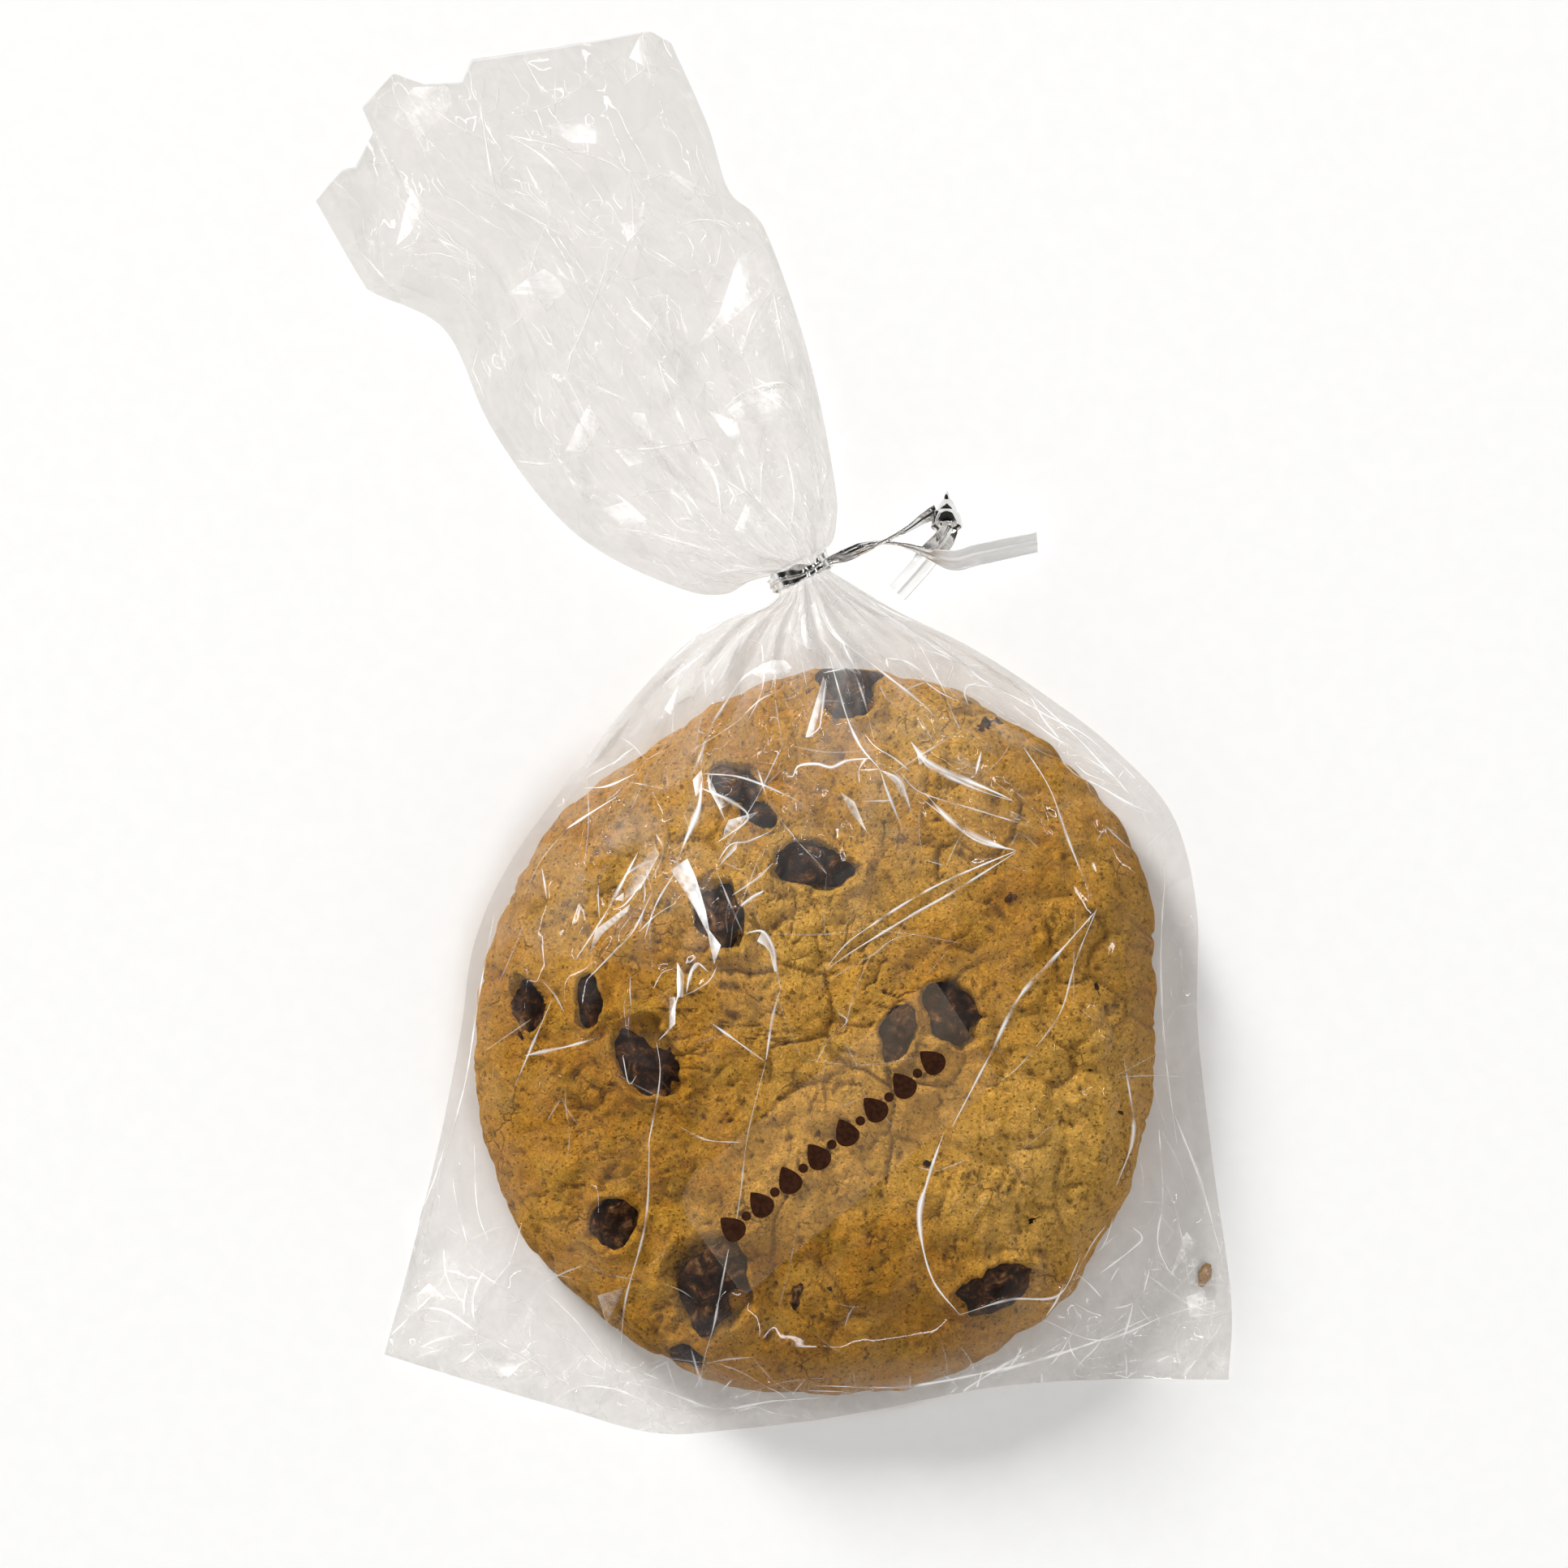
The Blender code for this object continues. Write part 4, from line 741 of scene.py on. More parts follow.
def chunk(width, length, depth, seed):
    """Return the points and faces of one broken lump of chocolate round the origin."""
    work = bmesh.new()
    bmesh.ops.create_icosphere(work, subdivisions=4, radius=1.0)
    points = np.array([vertex.co for vertex in work.verts])
    faces = np.array([[vertex.index for vertex in face.verts] for face in work.faces])
    work.free()
    rng = np.random.default_rng(seed)
    points = np.sign(points) * np.abs(points) ** 0.85
    for _ in range(9):
        aim = rng.normal(size=3)
        aim /= np.linalg.norm(aim)
        limit = rng.uniform(0.5, 0.95)
        over = np.clip(points @ aim - limit, 0.0, None)
        points -= 0.8 * over[:, None] * aim
    shift = rng.uniform(0, 50, 3)
    for size, amount in ((1.1, 0.42), (0.5, 0.30), (0.22, 0.15)):
        swell = [noise.noise(Vector(point / size + shift)) for point in points]
        points *= 1 + amount * np.asarray(swell)[:, None]
    return points * (width / 2, length / 2, depth / 2), faces


def make_chips(finish):
    """Make the chips as one piece: each sits in its socket and stands out by its rise."""
    parts = []
    rng = np.random.default_rng(77)
    small = list(SPECKS)
    for _ in range(FLAKE_COUNT):
        turn = rng.uniform(0, 2 * math.pi)
        reach = math.sqrt(rng.uniform(0.02, 0.9)) * FLAKE_REACH
        size = rng.uniform(0.6, 1.3)
        small.append((COOKIE_CENTRE[0] + reach * math.cos(turn), COOKIE_CENTRE[1] + reach * math.sin(turn),
                      size, size * rng.uniform(0.6, 1.4), rng.uniform(0, 180), 0.05))
    for seed, (x, y, width, length, turn, rise) in enumerate((*CHIPS, *small)):
        large = rise > LARGE_RISE
        depth = 0.9 * min(width, length) + 1.2 if large else min(width, length)
        points, faces = chunk(width * CHIP_SWELL, length * CHIP_SWELL, depth, 200 + seed)
        level = float(dome_height(np.array(x), np.array(y))) - DOUGH_SINK
        top = level + (0.25 + 0.55 * rise if large else rise)
        spun_x, spun_y = turned(points[:, 0], points[:, 1], -math.radians(turn))
        placed = np.column_stack([x + spun_x, y + spun_y, points[:, 2]])
        placed[:, 2] += dome_height(placed[:, 0], placed[:, 1]) - level - DOUGH_SINK
        placed[:, 2] += top - points[:, 2].max()
        offset = placed[:, :2] - COOKIE_CENTRE
        share = np.hypot(*offset.T) / cookie_reach(np.arctan2(offset[:, 1], offset[:, 0]))
        placed[:, :2] = COOKIE_CENTRE + offset * np.minimum(1.0, CHIP_LIMIT / share)[:, None]
        placed[:, 2] = np.maximum(placed[:, 2], COOKIE_BASE + 0.1)
        parts.append((placed, faces))
    return make_piece("chips", *join(parts), finish, "chocolate")


def make_crumb(finish):
    """Make the one loose crumb that lies in the bag's lower right corner."""
    points, faces = chunk(*CRUMB_SIZE, 901)
    points[:, 0] += 0.25 * points[:, 1]
    return make_piece("loose_crumb", points + CRUMB_PLACE, faces, finish, "crumb")


# The film

def throat_line(along):
    """Return the throat's left and right ends at a distance along it."""
    middle = THROAT_CENTRE + along * THROAT_AHEAD
    return middle - THROAT_HALF_WIDTH * THROAT_ACROSS, middle + THROAT_HALF_WIDTH * THROAT_ACROSS


def body_plan(columns, rows):
    """Return the plan of a sheet from the bag's closed end to the middle of its throat."""
    left, right = throat_line(-THROAT_HALF_LENGTH)
    grid = patch(
        smooth_line(BODY_END, columns),
        spread((left, right), columns),
        smooth_line((*BODY_LEFT, left), rows - 2),
        smooth_line((*BODY_RIGHT, right), rows - 2),
    )
    extra = [spread(throat_line(along), columns) for along in (-0.7, 0.0)]
    return np.concatenate([grid, np.array(extra)])


def tail_plan(columns, rows):
    """Return the plan of a sheet from the middle of the throat to the open mouth."""
    left, right = throat_line(THROAT_HALF_LENGTH)
    grid = patch(
        spread((left, right), columns),
        spread(TAIL_MOUTH, columns),
        smooth_line((left, *TAIL_LEFT), rows - 2),
        smooth_line((right, *TAIL_RIGHT), rows - 2),
    )
    extra = [spread(throat_line(along), columns) for along in (0.0, 0.7)]
    return np.concatenate([np.array(extra), grid])


def fold_lines(points, level, faces):
    """Return each line where two facets meet: its ends, and how far the sheet bends down beside it."""
    sides = {}
    for corners in faces:
        for step in range(3):
            start, end, other = corners[step], corners[step - 2], corners[step - 1]
            run = points[end] - points[start]
            off = points[other] - points[start]
            span = np.linalg.norm(run)
            foot = level[start] + (off @ run) / span**2 * (level[end] - level[start])
            gap = abs(run[0] * off[1] - run[1] * off[0]) / span
            sides.setdefault(tuple(sorted((start, end))), []).append((foot - level[other]) / gap)
    return [(points[start], points[end], sum(drops))
            for (start, end), drops in sides.items() if len(drops) == 2 and sum(drops) > 0]


def facet_field(across, along, size, seed):
    """Return fields of scattered facets over a size in mm: their relief, a random shade painted on each, and
    the folds.
    """
    rng = np.random.default_rng(seed)
    column, row = np.meshgrid(np.arange(-1, across + 2), np.arange(-1, along + 2))
    u = (column + rng.uniform(-0.46, 0.46, column.shape)) / across
    v = (row + rng.uniform(-0.46, 0.46, row.shape)) / along
    places = [Vector(place) for place in zip(u.ravel(), v.ravel())]
    raised = rng.normal(0, 1, len(places))
    points, _, faces, sources = delaunay_2d_cdt(places, [], [], 0, 1e-9)[:4]
    level = np.array([raised[source[0]] for source in sources])
    points = np.array([(point.x, point.y) for point in points])
    folds = fold_lines(points * size, level, faces)
    points *= FIELD
    relief = np.zeros((FIELD + 1, FIELD + 1))
    facet_shades = np.zeros((FIELD + 1, FIELD + 1))
    for corners in faces:
        triangle = points[list(corners)]
        low = np.clip(np.floor(triangle.min(axis=0)).astype(int), 0, FIELD)
        high = np.clip(np.ceil(triangle.max(axis=0)).astype(int), 0, FIELD)
        if np.any(high <= low):
            continue
        gx, gy = np.meshgrid(np.arange(low[0], high[0] + 1), np.arange(low[1], high[1] + 1))
        edge_a = triangle[1] - triangle[0]
        edge_b = triangle[2] - triangle[0]
        area = edge_a[0] * edge_b[1] - edge_a[1] * edge_b[0]
        off_x = gx - triangle[0, 0]
        off_y = gy - triangle[0, 1]
        share_b = (off_x * edge_b[1] - off_y * edge_b[0]) / area
        share_c = (edge_a[0] * off_y - edge_a[1] * off_x) / area
        inside = (share_b >= -1e-6) & (share_c >= -1e-6) & (share_b + share_c <= 1 + 1e-6)
        value = level[list(corners)]
        flat = value[0] + share_b * (value[1] - value[0]) + share_c * (value[2] - value[0])
        span = (slice(low[1], high[1] + 1), slice(low[0], high[0] + 1))
        relief[span][inside] = flat[inside]
        facet_shades[span][inside] = rng.uniform()
    return relief, facet_shades, folds


def sample(field, u, v):
    """Read a field at places from 0 to 1."""
    u = np.clip(u, 0, 1) * FIELD
    v = np.clip(v, 0, 1) * FIELD
    column = np.minimum(np.floor(u).astype(int), FIELD - 1)
    row = np.minimum(np.floor(v).astype(int), FIELD - 1)
    return between(field, row, column, u - column, v - row)


def crumple(u, v, size, layers, seed):
    """Return the relief, the painted facet shade and the folds of layers of facets over a size in
    millimetres.

    Each layer has its counts across and along, and its height.
    """
    total = np.zeros(u.shape)
    facet_shade = np.zeros(u.shape)
    folds = []
    for step, (across, along, height) in enumerate(layers):
        relief, facet_shades, lines = facet_field(across, along, size, seed + step)
        total += height * sample(relief, u, v)
        facet_shade += sample(facet_shades, u, v) ** 3 / len(layers)
        folds += [(start, end, height * bend) for start, end, bend in lines]
    return total, facet_shade, folds


def fold_routes(folds, size, place, share, seed):
    """Return a white crease strip, partly painted highlight, for each fold that would catch light. Place
    turns shares of the size into a plan.
    """
    rng = np.random.default_rng(seed)
    routes = []
    for start, end, bend in folds:
        luck = rng.uniform(0, 1, 2)
        ends = np.array((start, end)) / size
        if ends.min() < 0 or ends.max() > 1:
            continue
        start, end = place(*ends.T)
        middle = (start + end) / 2
        span = end - start
        white = ease(bend, 0.08, 0.6) * share(*middle) * luck[0] ** 1.6
        if white < 0.09 or np.hypot(*span) < 1.0:
            continue
        middle = middle + 0.12 * (luck[1] - 0.5) * np.array((-span[1], span[0]))
        routes.append((0.15 + 0.3 * white, min(1.0, 1.35 * white), (start, middle, end)))
    return routes


def grid_place(grid):
    """Return a function that finds the plan place of shares across and along a sheet."""
    rows, columns = grid.shape[:2]

    def place(u, v):
        column = np.minimum((u * (columns - 1)).astype(int), columns - 2)
        row = np.minimum((v * (rows - 1)).astype(int), rows - 2)
        aside = u * (columns - 1) - column
        ahead = v * (rows - 1) - row
        return between(grid, row, column, aside[:, None], ahead[:, None])

    return place


def kink_highlight(level, grid):
    """Return how white each point of a sheet is from its bend, which is the change of its slope: a painted
    highlight, partly stress whitening.
    """
    bend = np.zeros(level.shape)
    step_u = np.linalg.norm(np.diff(grid, axis=1), axis=-1)
    step_v = np.linalg.norm(np.diff(grid, axis=0), axis=-1)
    slope_u = np.diff(level, axis=1) / np.maximum(step_u, 0.05)
    slope_v = np.diff(level, axis=0) / np.maximum(step_v, 0.05)
    bend[:, 1:-1] = -np.diff(slope_u, axis=1)
    bend[1:-1] = np.maximum(bend[1:-1], -np.diff(slope_v, axis=0))
    return ease(bend, *KINK_BENDS) * KINK_HIGHLIGHT


def ridge(x, y, height, half_width, points):
    """Return one crease's relief: a ridge along a line that narrows to its two ends."""
    line = smooth_line(points, 28)
    reach = half_width + 0.1
    low = line.min(axis=0) - reach
    high = line.max(axis=0) + reach
    near = (x > low[0]) & (x < high[0]) & (y > low[1]) & (y < high[1])
    result = np.zeros(x.shape)
    px = x[near]
    py = y[near]
    best = np.full(px.shape, 1e9)
    share = np.zeros(px.shape)
    for step, (start, end) in enumerate(zip(line, line[1:])):
        run = end - start
        along = ((px - start[0]) * run[0] + (py - start[1]) * run[1]) / (run @ run)
        along = np.clip(along, 0, 1)
        gap = np.hypot(px - start[0] - along * run[0], py - start[1] - along * run[1])
        closer = gap < best
        best = np.where(closer, gap, best)
        share = np.where(closer, (step + along) / (len(line) - 1), share)
    taper = np.clip(np.sin(math.pi * share), 0.0, 1.0) ** 0.55
    result[near] = height * taper * np.clip(1 - best / (half_width * taper + 0.05), 0, 1)
    return result


def soften(values, times):
    """Smooth a grid of heights, with its outline kept."""
    for _ in range(times):
        values[1:-1, 1:-1] = (values[1:-1, 1:-1] * 4 + values[:-2, 1:-1] + values[2:, 1:-1]
                              + values[1:-1, :-2] + values[1:-1, 2:]) / 8
    return values


def row_widths(grid):
    """Return how wide each row of a sheet is."""
    return np.linalg.norm(grid[:, -1] - grid[:, 0], axis=-1)[:, None]


def shares_of(grid):
    """Return how far across and along a sheet each of its points is, from 0 to 1."""
    rows, columns = grid.shape[:2]
    return np.meshgrid(np.linspace(0, 1, columns), np.linspace(0, 1, rows))


def body_edges(rows, columns):
    """Return the levels of the body sheet's outline, as in the CAD."""
    v = np.linspace(0, 1, rows)
    u = np.linspace(0, 1, columns)
    side = CORNER_LEVEL + (SIDE_LEVEL - CORNER_LEVEL) * ease(v, 0.05, 0.4)
    side += (THROAT_LEVEL - SIDE_LEVEL) * ease(v, 0.75, 0.985)
    end = CORNER_LEVEL + (END_LEVEL - CORNER_LEVEL) * np.sin(math.pi * u)
    end += 0.5 * np.sin(5 * math.pi * u) ** 2
    return side, end


def gathered(u, sign):
    """Return the level of the film across the throat, above or below its middle."""
    return THROAT_LEVEL + sign * THROAT_HALF_DEPTH * np.sqrt(np.clip(1 - (2 * u - 1) ** 2, 0, 1))


def base_levels(grid, tree, above):
    """Return the CAD's level under each point of a sheet, smoothed between its facets."""
    level = heights(tree, grid[..., 0], grid[..., 1], from_above=above)
    for row in level:
        known = ~np.isnan(row)
        if known.any():
            row[~known] = np.interp(np.flatnonzero(~known), np.flatnonzero(known), row[known])
    for column in level.T:
        known = ~np.isnan(column)
        column[~known] = np.interp(np.flatnonzero(~known), np.flatnonzero(known), column[known])
    return level


def gathering(x, y):
    """Return how strongly the throat gathers the film at a place."""
    return np.clip(1 - away_from(THROAT_CENTRE, x, y) / GATHER_REACH, 0, 1) ** 1.2


def body_shares(x, y):
    """Return how strongly the body's film is folded, crumpled and gathered at a place."""
    outside = ease(away_from(COOKIE_CENTRE, x, y), 48, 57)
    calm = 0.2 + 0.8 * np.clip(outside + spots(x, y, BUSY_SPOTS), 0, 1)
    corner = np.exp(-np.minimum((x + 50) ** 2, (x - 58) ** 2) / 13.0**2) * (1 - ease(y, -82, -66))
    rough = np.clip(outside * (1 - ease(y, -96, -86)) + corner, 0, 1)
    return calm, rough, gathering(x, y)


def body_relief(grid, above, seed):
    """Return the relief, the haze with painted facet shade, the white folds with painted highlight and the
    creases of a body sheet.
    """
    x = grid[..., 0]
    y = grid[..., 1]
    u, v = shares_of(grid)
    width = row_widths(grid)
    away = away_from(THROAT_CENTRE, x, y)
    calm, rough, gather = body_shares(x, y)
    size = (BODY_WIDTH, BODY_LENGTH)
    place = grid_place(grid)
    fold, facet_shade, folds = crumple(u, v, size, BODY_LAYERS, seed)
    fold *= calm * np.clip(width / 60.0, 0.15, 1.0)
    # Random facet shades whiten and darken the film facet by facet: painted shade and reflection, with some
    # real haze
    haze = 0.26 * facet_shade * calm
    routes = fold_routes(folds, size, place, lambda *spot: 1.4 * body_shares(*spot)[0], seed)

    def square_place(across, along):
        return np.column_stack([SQUARE_LEFT + SQUARE * across, SQUARE_LOW + SQUARE * along])

    square = (SQUARE, SQUARE)
    across = (x - SQUARE_LEFT) / SQUARE
    along = (y - SQUARE_LOW) / SQUARE
    fine, facet_shade, folds = crumple(across, along, square, CORNER_LAYERS, seed + 9)
    fold += rough * fine
    haze += 0.42 * facet_shade * rough
    routes += fold_routes(folds, square, square_place, lambda *spot: 1.6 * body_shares(*spot)[1], seed + 1)
    fine, facet_shade, folds = crumple(u, v, size, BODY_GATHERS, seed + 19)
    fold += gather * fine * width / 38.0
    haze += 0.3 * facet_shade * gather
    routes += fold_routes(folds, size, place, lambda *spot: 1.1 * gathering(*spot), seed + 2)
    if above:
        for _, _, points in CREASES:
            fold += ridge(x, y, 0.3, 1.8, points)
        haze += 0.24 * np.exp(-(away / 13.0) ** 2) + 0.06 * np.exp(-(away / 40.0) ** 2)
        haze += 0.42 * ridge(x, y, 1.0, 8.0, PALE_ARC) * (0.6 + 0.5 * lumps(x, y, 3.5, 33))
    margin = np.minimum(np.minimum(u, 1 - u) * width, v * BODY_LENGTH)
    fold *= ease(margin, 0.0, 2.5)
    fold[-4:] = 0
    white = kink_highlight(fold, grid)
    edge_wave = 0.5 * lumps(x, y, 7.0, 91) + 0.3 * lumps(x, y, 3.0, 92)
    fold += edge_wave * (1 - ease(margin, 0.0, 5.0)) * ease(away, 8.0, 25.0)
    return fold, haze, white, routes


def body_sheet(name, size, tree, above, seed, finish, over=None):
    """Make the front or the back sheet of the bag's body."""
    columns, rows = size
    grid = body_plan(columns, rows)
    u = np.linspace(0, 1, columns)[None, :]
    level = base_levels(grid, tree, above)
    side, end = body_edges(rows, columns)
    level[:, 0] = level[:, -1] = side
    level[0] = end
    level[-3:] = gathered(u, 1 if above else -1)
    level = soften(level, 10 if above else 4)
    fold, haze, white, routes = body_relief(grid, above, seed)
    level = level + fold
    if over is not None:
        ground = heights(over, grid[..., 0], grid[..., 1])
        level = np.fmax(level, ground + SKIN)
        level = np.fmax(soften(level, 1), ground + SKIN)
    if not above:
        under = away_from(COOKIE_CENTRE, grid[..., 0], grid[..., 1]) < UNDERSIDE
        level = np.where(under, np.minimum(level, COOKIE_BASE - SKIN), level)
    level = np.maximum(level, FRONT_LOWEST if above else BACK_LOWEST)
    return finish_sheet(name, grid, level, above, finish, haze, white), routes


def tail_shares(x, y):
    """Return how strongly the tail's film is folded and gathered at a place."""
    calm = 1 - 0.85 * np.exp(-((x + 26) ** 2 / 14.0**2 + (y - 91) ** 2 / 9.0**2))
    calm *= 1 - 0.6 * np.exp(-((x + 12) ** 2 + (y - 84) ** 2) / 9.0**2)
    return calm, gathering(x, y)


def tail_relief(grid, above, seed):
    """Return the relief, the haze with painted facet shade, the white folds with painted highlight and the
    creases of a tail sheet.
    """
    x = grid[..., 0]
    y = grid[..., 1]
    u, v = shares_of(grid)
    width = row_widths(grid)
    away = away_from(THROAT_CENTRE, x, y)
    calm, gather = tail_shares(x, y)
    size = (TAIL_WIDTH, TAIL_LENGTH)
    place = grid_place(grid)
    fold, facet_shade, folds = crumple(u, v, size, TAIL_LAYERS, seed)
    fold *= calm * np.clip(width / TAIL_WIDTH, 0.1, 1.2)
    # Random facet shades whiten and darken the film facet by facet: painted shade and reflection, with some
    # real haze
    haze = 0.34 * facet_shade * calm
    routes = fold_routes(folds, size, place, lambda *spot: tail_shares(*spot)[0], seed)
    fine, facet_shade, folds = crumple(u, v, size, TAIL_GATHERS, seed + 19)
    fold += gather * fine * width / 30.0
    haze += 0.25 * facet_shade * gather
    routes += fold_routes(folds, size, place, gathering, seed + 2)
    if above:
        for _, _, points in TAIL_CREASES:
            fold += ridge(x, y, 0.5, 2.2, points)
        haze += 0.2 * np.exp(-(away / 13.0) ** 2)
    margin = np.minimum(u, 1 - u) * width
    fold *= ease(margin, 0.0, 2.5)
    fold[:4] = 0
    white = kink_highlight(fold, grid)
    fold += 0.5 * lumps(x, y, 6.0, 95) * (1 - ease(margin, 0.0, 4.0)) * ease(away, 8.0, 20.0)
    return fold, haze, white, routes


def tail_sheet(name, size, tree, above, seed, finish):
    """Make the front or the back sheet of the bag's open tail."""
    columns, rows = size
    grid = tail_plan(columns, rows)
    u = np.linspace(0, 1, columns)[None, :]
    v = np.linspace(0, 1, rows)
    level = base_levels(grid, tree, above)
    side = THROAT_LEVEL + (MOUTH_LEVEL - THROAT_LEVEL) * ease(v, 0.03, 0.38)
    level[:, 0] = level[:, -1] = side
    level[:3] = gathered(u, 1 if above else -1)
    level = soften(level, 8 if above else 4)
    fold, haze, white, routes = tail_relief(grid, above, seed)
    level = level + fold
    away = away_from(THROAT_CENTRE, grid[..., 0], grid[..., 1])
    level = np.maximum(level, TAIL_LOWEST * ease(away, 6.0, 20.0) if above else BACK_LOWEST)
    return finish_sheet(name, grid, level, above, finish, haze, white), routes


def film_piece(name, points, faces, finish, haze, white):
    """Make a piece of film that stands for the bag, with how hazy and how white its points are; the haze is
    partly painted facet shade and the white partly painted highlight.
    """
    piece = make_piece(name, points, faces, finish, "film")
    store(piece, haze=haze, white=white)
    piece.visible_shadow = False
    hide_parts("bag")
    return piece


def finish_sheet(name, grid, level, above, finish, haze, white):
    """Turn a sheet's plan and levels into a piece that faces out of the bag."""
    faces = grid_faces(*level.shape)
    if not above:
        faces = faces[:, ::-1]
    return film_piece(name, np.dstack([grid, level]).reshape(-1, 3), faces, finish, haze, white)


def make_creases(name, over, lines, finish):
    """Make the sharp white creases: thin strips along the film, raised in their middle. Their white is partly
    stress whitening and partly painted highlight.
    """
    parts = []
    whites = []
    for wide, whiteness, route in lines:
        length = np.linalg.norm(np.diff(np.asarray(route, float), axis=0), axis=1).sum()
        stations = 5 + int(length / CREASE_STEP)
        line = smooth_line(route, stations)
        taper = np.clip(np.sin(math.pi * np.linspace(0, 1, stations)), 0, 1) ** 0.7
        waver = 1 + 0.8 * lumps(line[:, 0] + 3 * wide, line[:, 1], 2.5, 17)
        half = 0.46 * wide * waver * taper + 0.02
        shine = 0.9 + 1.1 * lumps(line[:, 0], line[:, 1] + 9 * wide, 2.8, 19)
        shine = whiteness * np.clip(shine, 0.12, 1.0)
        ahead = np.gradient(line, axis=0)
        ahead /= np.linalg.norm(ahead, axis=1)[:, None]
        aside = np.column_stack([-ahead[:, 1], ahead[:, 0]])
        place = line[:, None] + aside[:, None] * (half[:, None] * CREASE_ACROSS)[..., None]
        level = heights(over, place[..., 0], place[..., 1])
        known = ~np.isnan(level).any(axis=1)
        if known.sum() < 3:
            continue
        first, last = np.flatnonzero(known)[[0, -1]]
        span = slice(first, last + 1)
        level = np.where(np.isnan(level[span]), np.nanmean(level[span]), level[span])
        level = level + CREASE_LIFT + 0.3 * half[span, None] * (1 - CREASE_ACROSS**2)
        parts.append((np.dstack([place[span], level]).reshape(-1, 3), grid_faces(*level.shape)[:, ::-1]))
        whites += list((shine[span, None] * CREASE_PROFILE).ravel())
    film_piece(name, *join(parts), finish, np.zeros(len(whites)), whites)


def make_highlight_shards(name, over, outlines, finish):
    """Make the white patches: thin streaked plates that lie along the film, as painted highlights of bright
    folds.
    """
    parts = []
    whites = []
    for seed, (whiteness, outline) in enumerate(outlines):
        corners = np.asarray(outline, float)
        rim = []
        for start, end in zip(corners, np.roll(corners, -1, axis=0)):
            steps = max(1, round(np.hypot(*(end - start)) / SHARD_STEP))
            rim += [start + (end - start) * step / steps for step in range(steps)]
        low = corners.min(axis=0)
        high = corners.max(axis=0)
        inner = [(x, y) for x in np.arange(low[0], high[0], SHARD_STEP)
                 for y in np.arange(low[1], high[1], SHARD_STEP)]
        places = [Vector(place) for place in rim + inner]
        found, _, triangles, sources = delaunay_2d_cdt(places, [], [list(range(len(rim)))], 1, 1e-6)[:4]
        used = sorted({corner for triangle in triangles for corner in triangle})
        plan = np.array([found[corner].to_2d() for corner in used])
        level = heights(over, plan[:, 0], plan[:, 1])
        level = np.where(np.isnan(level), np.nanmean(level), level) + SHARD_LIFT
        axes = np.linalg.svd(corners - corners.mean(axis=0))[2]
        along, across = (plan @ axes.T).T
        spot = (across - across.min()) / (across.max() - across.min())
        if seed % 2:
            spot = 1 - spot
        streak = 0.25 + 0.75 * spot**1.5 + 0.5 * lumps(2.6 * across, 0.35 * along, 1.2, 300 + seed)
        on_rim = np.array([min(sources[corner]) < len(rim) for corner in used])
        shine = whiteness * np.where(on_rim, 0.15 + 0.85 * spot, streak)
        renamed = {corner: place for place, corner in enumerate(used)}
        faces = [[renamed[corner] for corner in triangle] for triangle in triangles]
        parts.append((np.column_stack([plan, level]), faces))
        whites += list(np.clip(shine, 0, 1))
    film_piece(name, *join(parts), finish, np.zeros(len(whites)), whites)


# The label

def rounded(u, v, length, width):
    """Pull places near a rectangle's corners in, so that the corners are round."""
    x = u * length
    y = v * width
    corners = ((0, 0), (length, 0), (length, width), (0, width))
    for (corner_x, corner_y), radius in zip(corners, LABEL_ROUNDING):
        centre_x = radius if corner_x == 0 else length - radius
        centre_y = radius if corner_y == 0 else width - radius
        out_x = (x - centre_x) * (-1 if corner_x == 0 else 1)
        out_y = (y - centre_y) * (-1 if corner_y == 0 else 1)
        near = (out_x > 1e-9) & (out_y > 1e-9)
        pull = np.where(near, np.maximum(out_x, out_y) / np.maximum(np.hypot(out_x, out_y), 1e-9), 1.0)
        x = np.where(near, centre_x + (x - centre_x) * pull, x)
        y = np.where(near, centre_y + (y - centre_y) * pull, y)
    return x / length, y / width


def label_place(u, v):
    """Return the plan place of a spot on the label."""
    corners = np.asarray(LABEL_CORNERS)
    u = np.asarray(u)[..., None]
    v = np.asarray(v)[..., None]
    near = (1 - u) * corners[0] + u * corners[1]
    far = (1 - u) * corners[3] + u * corners[2]
    return (1 - v) * near + v * far


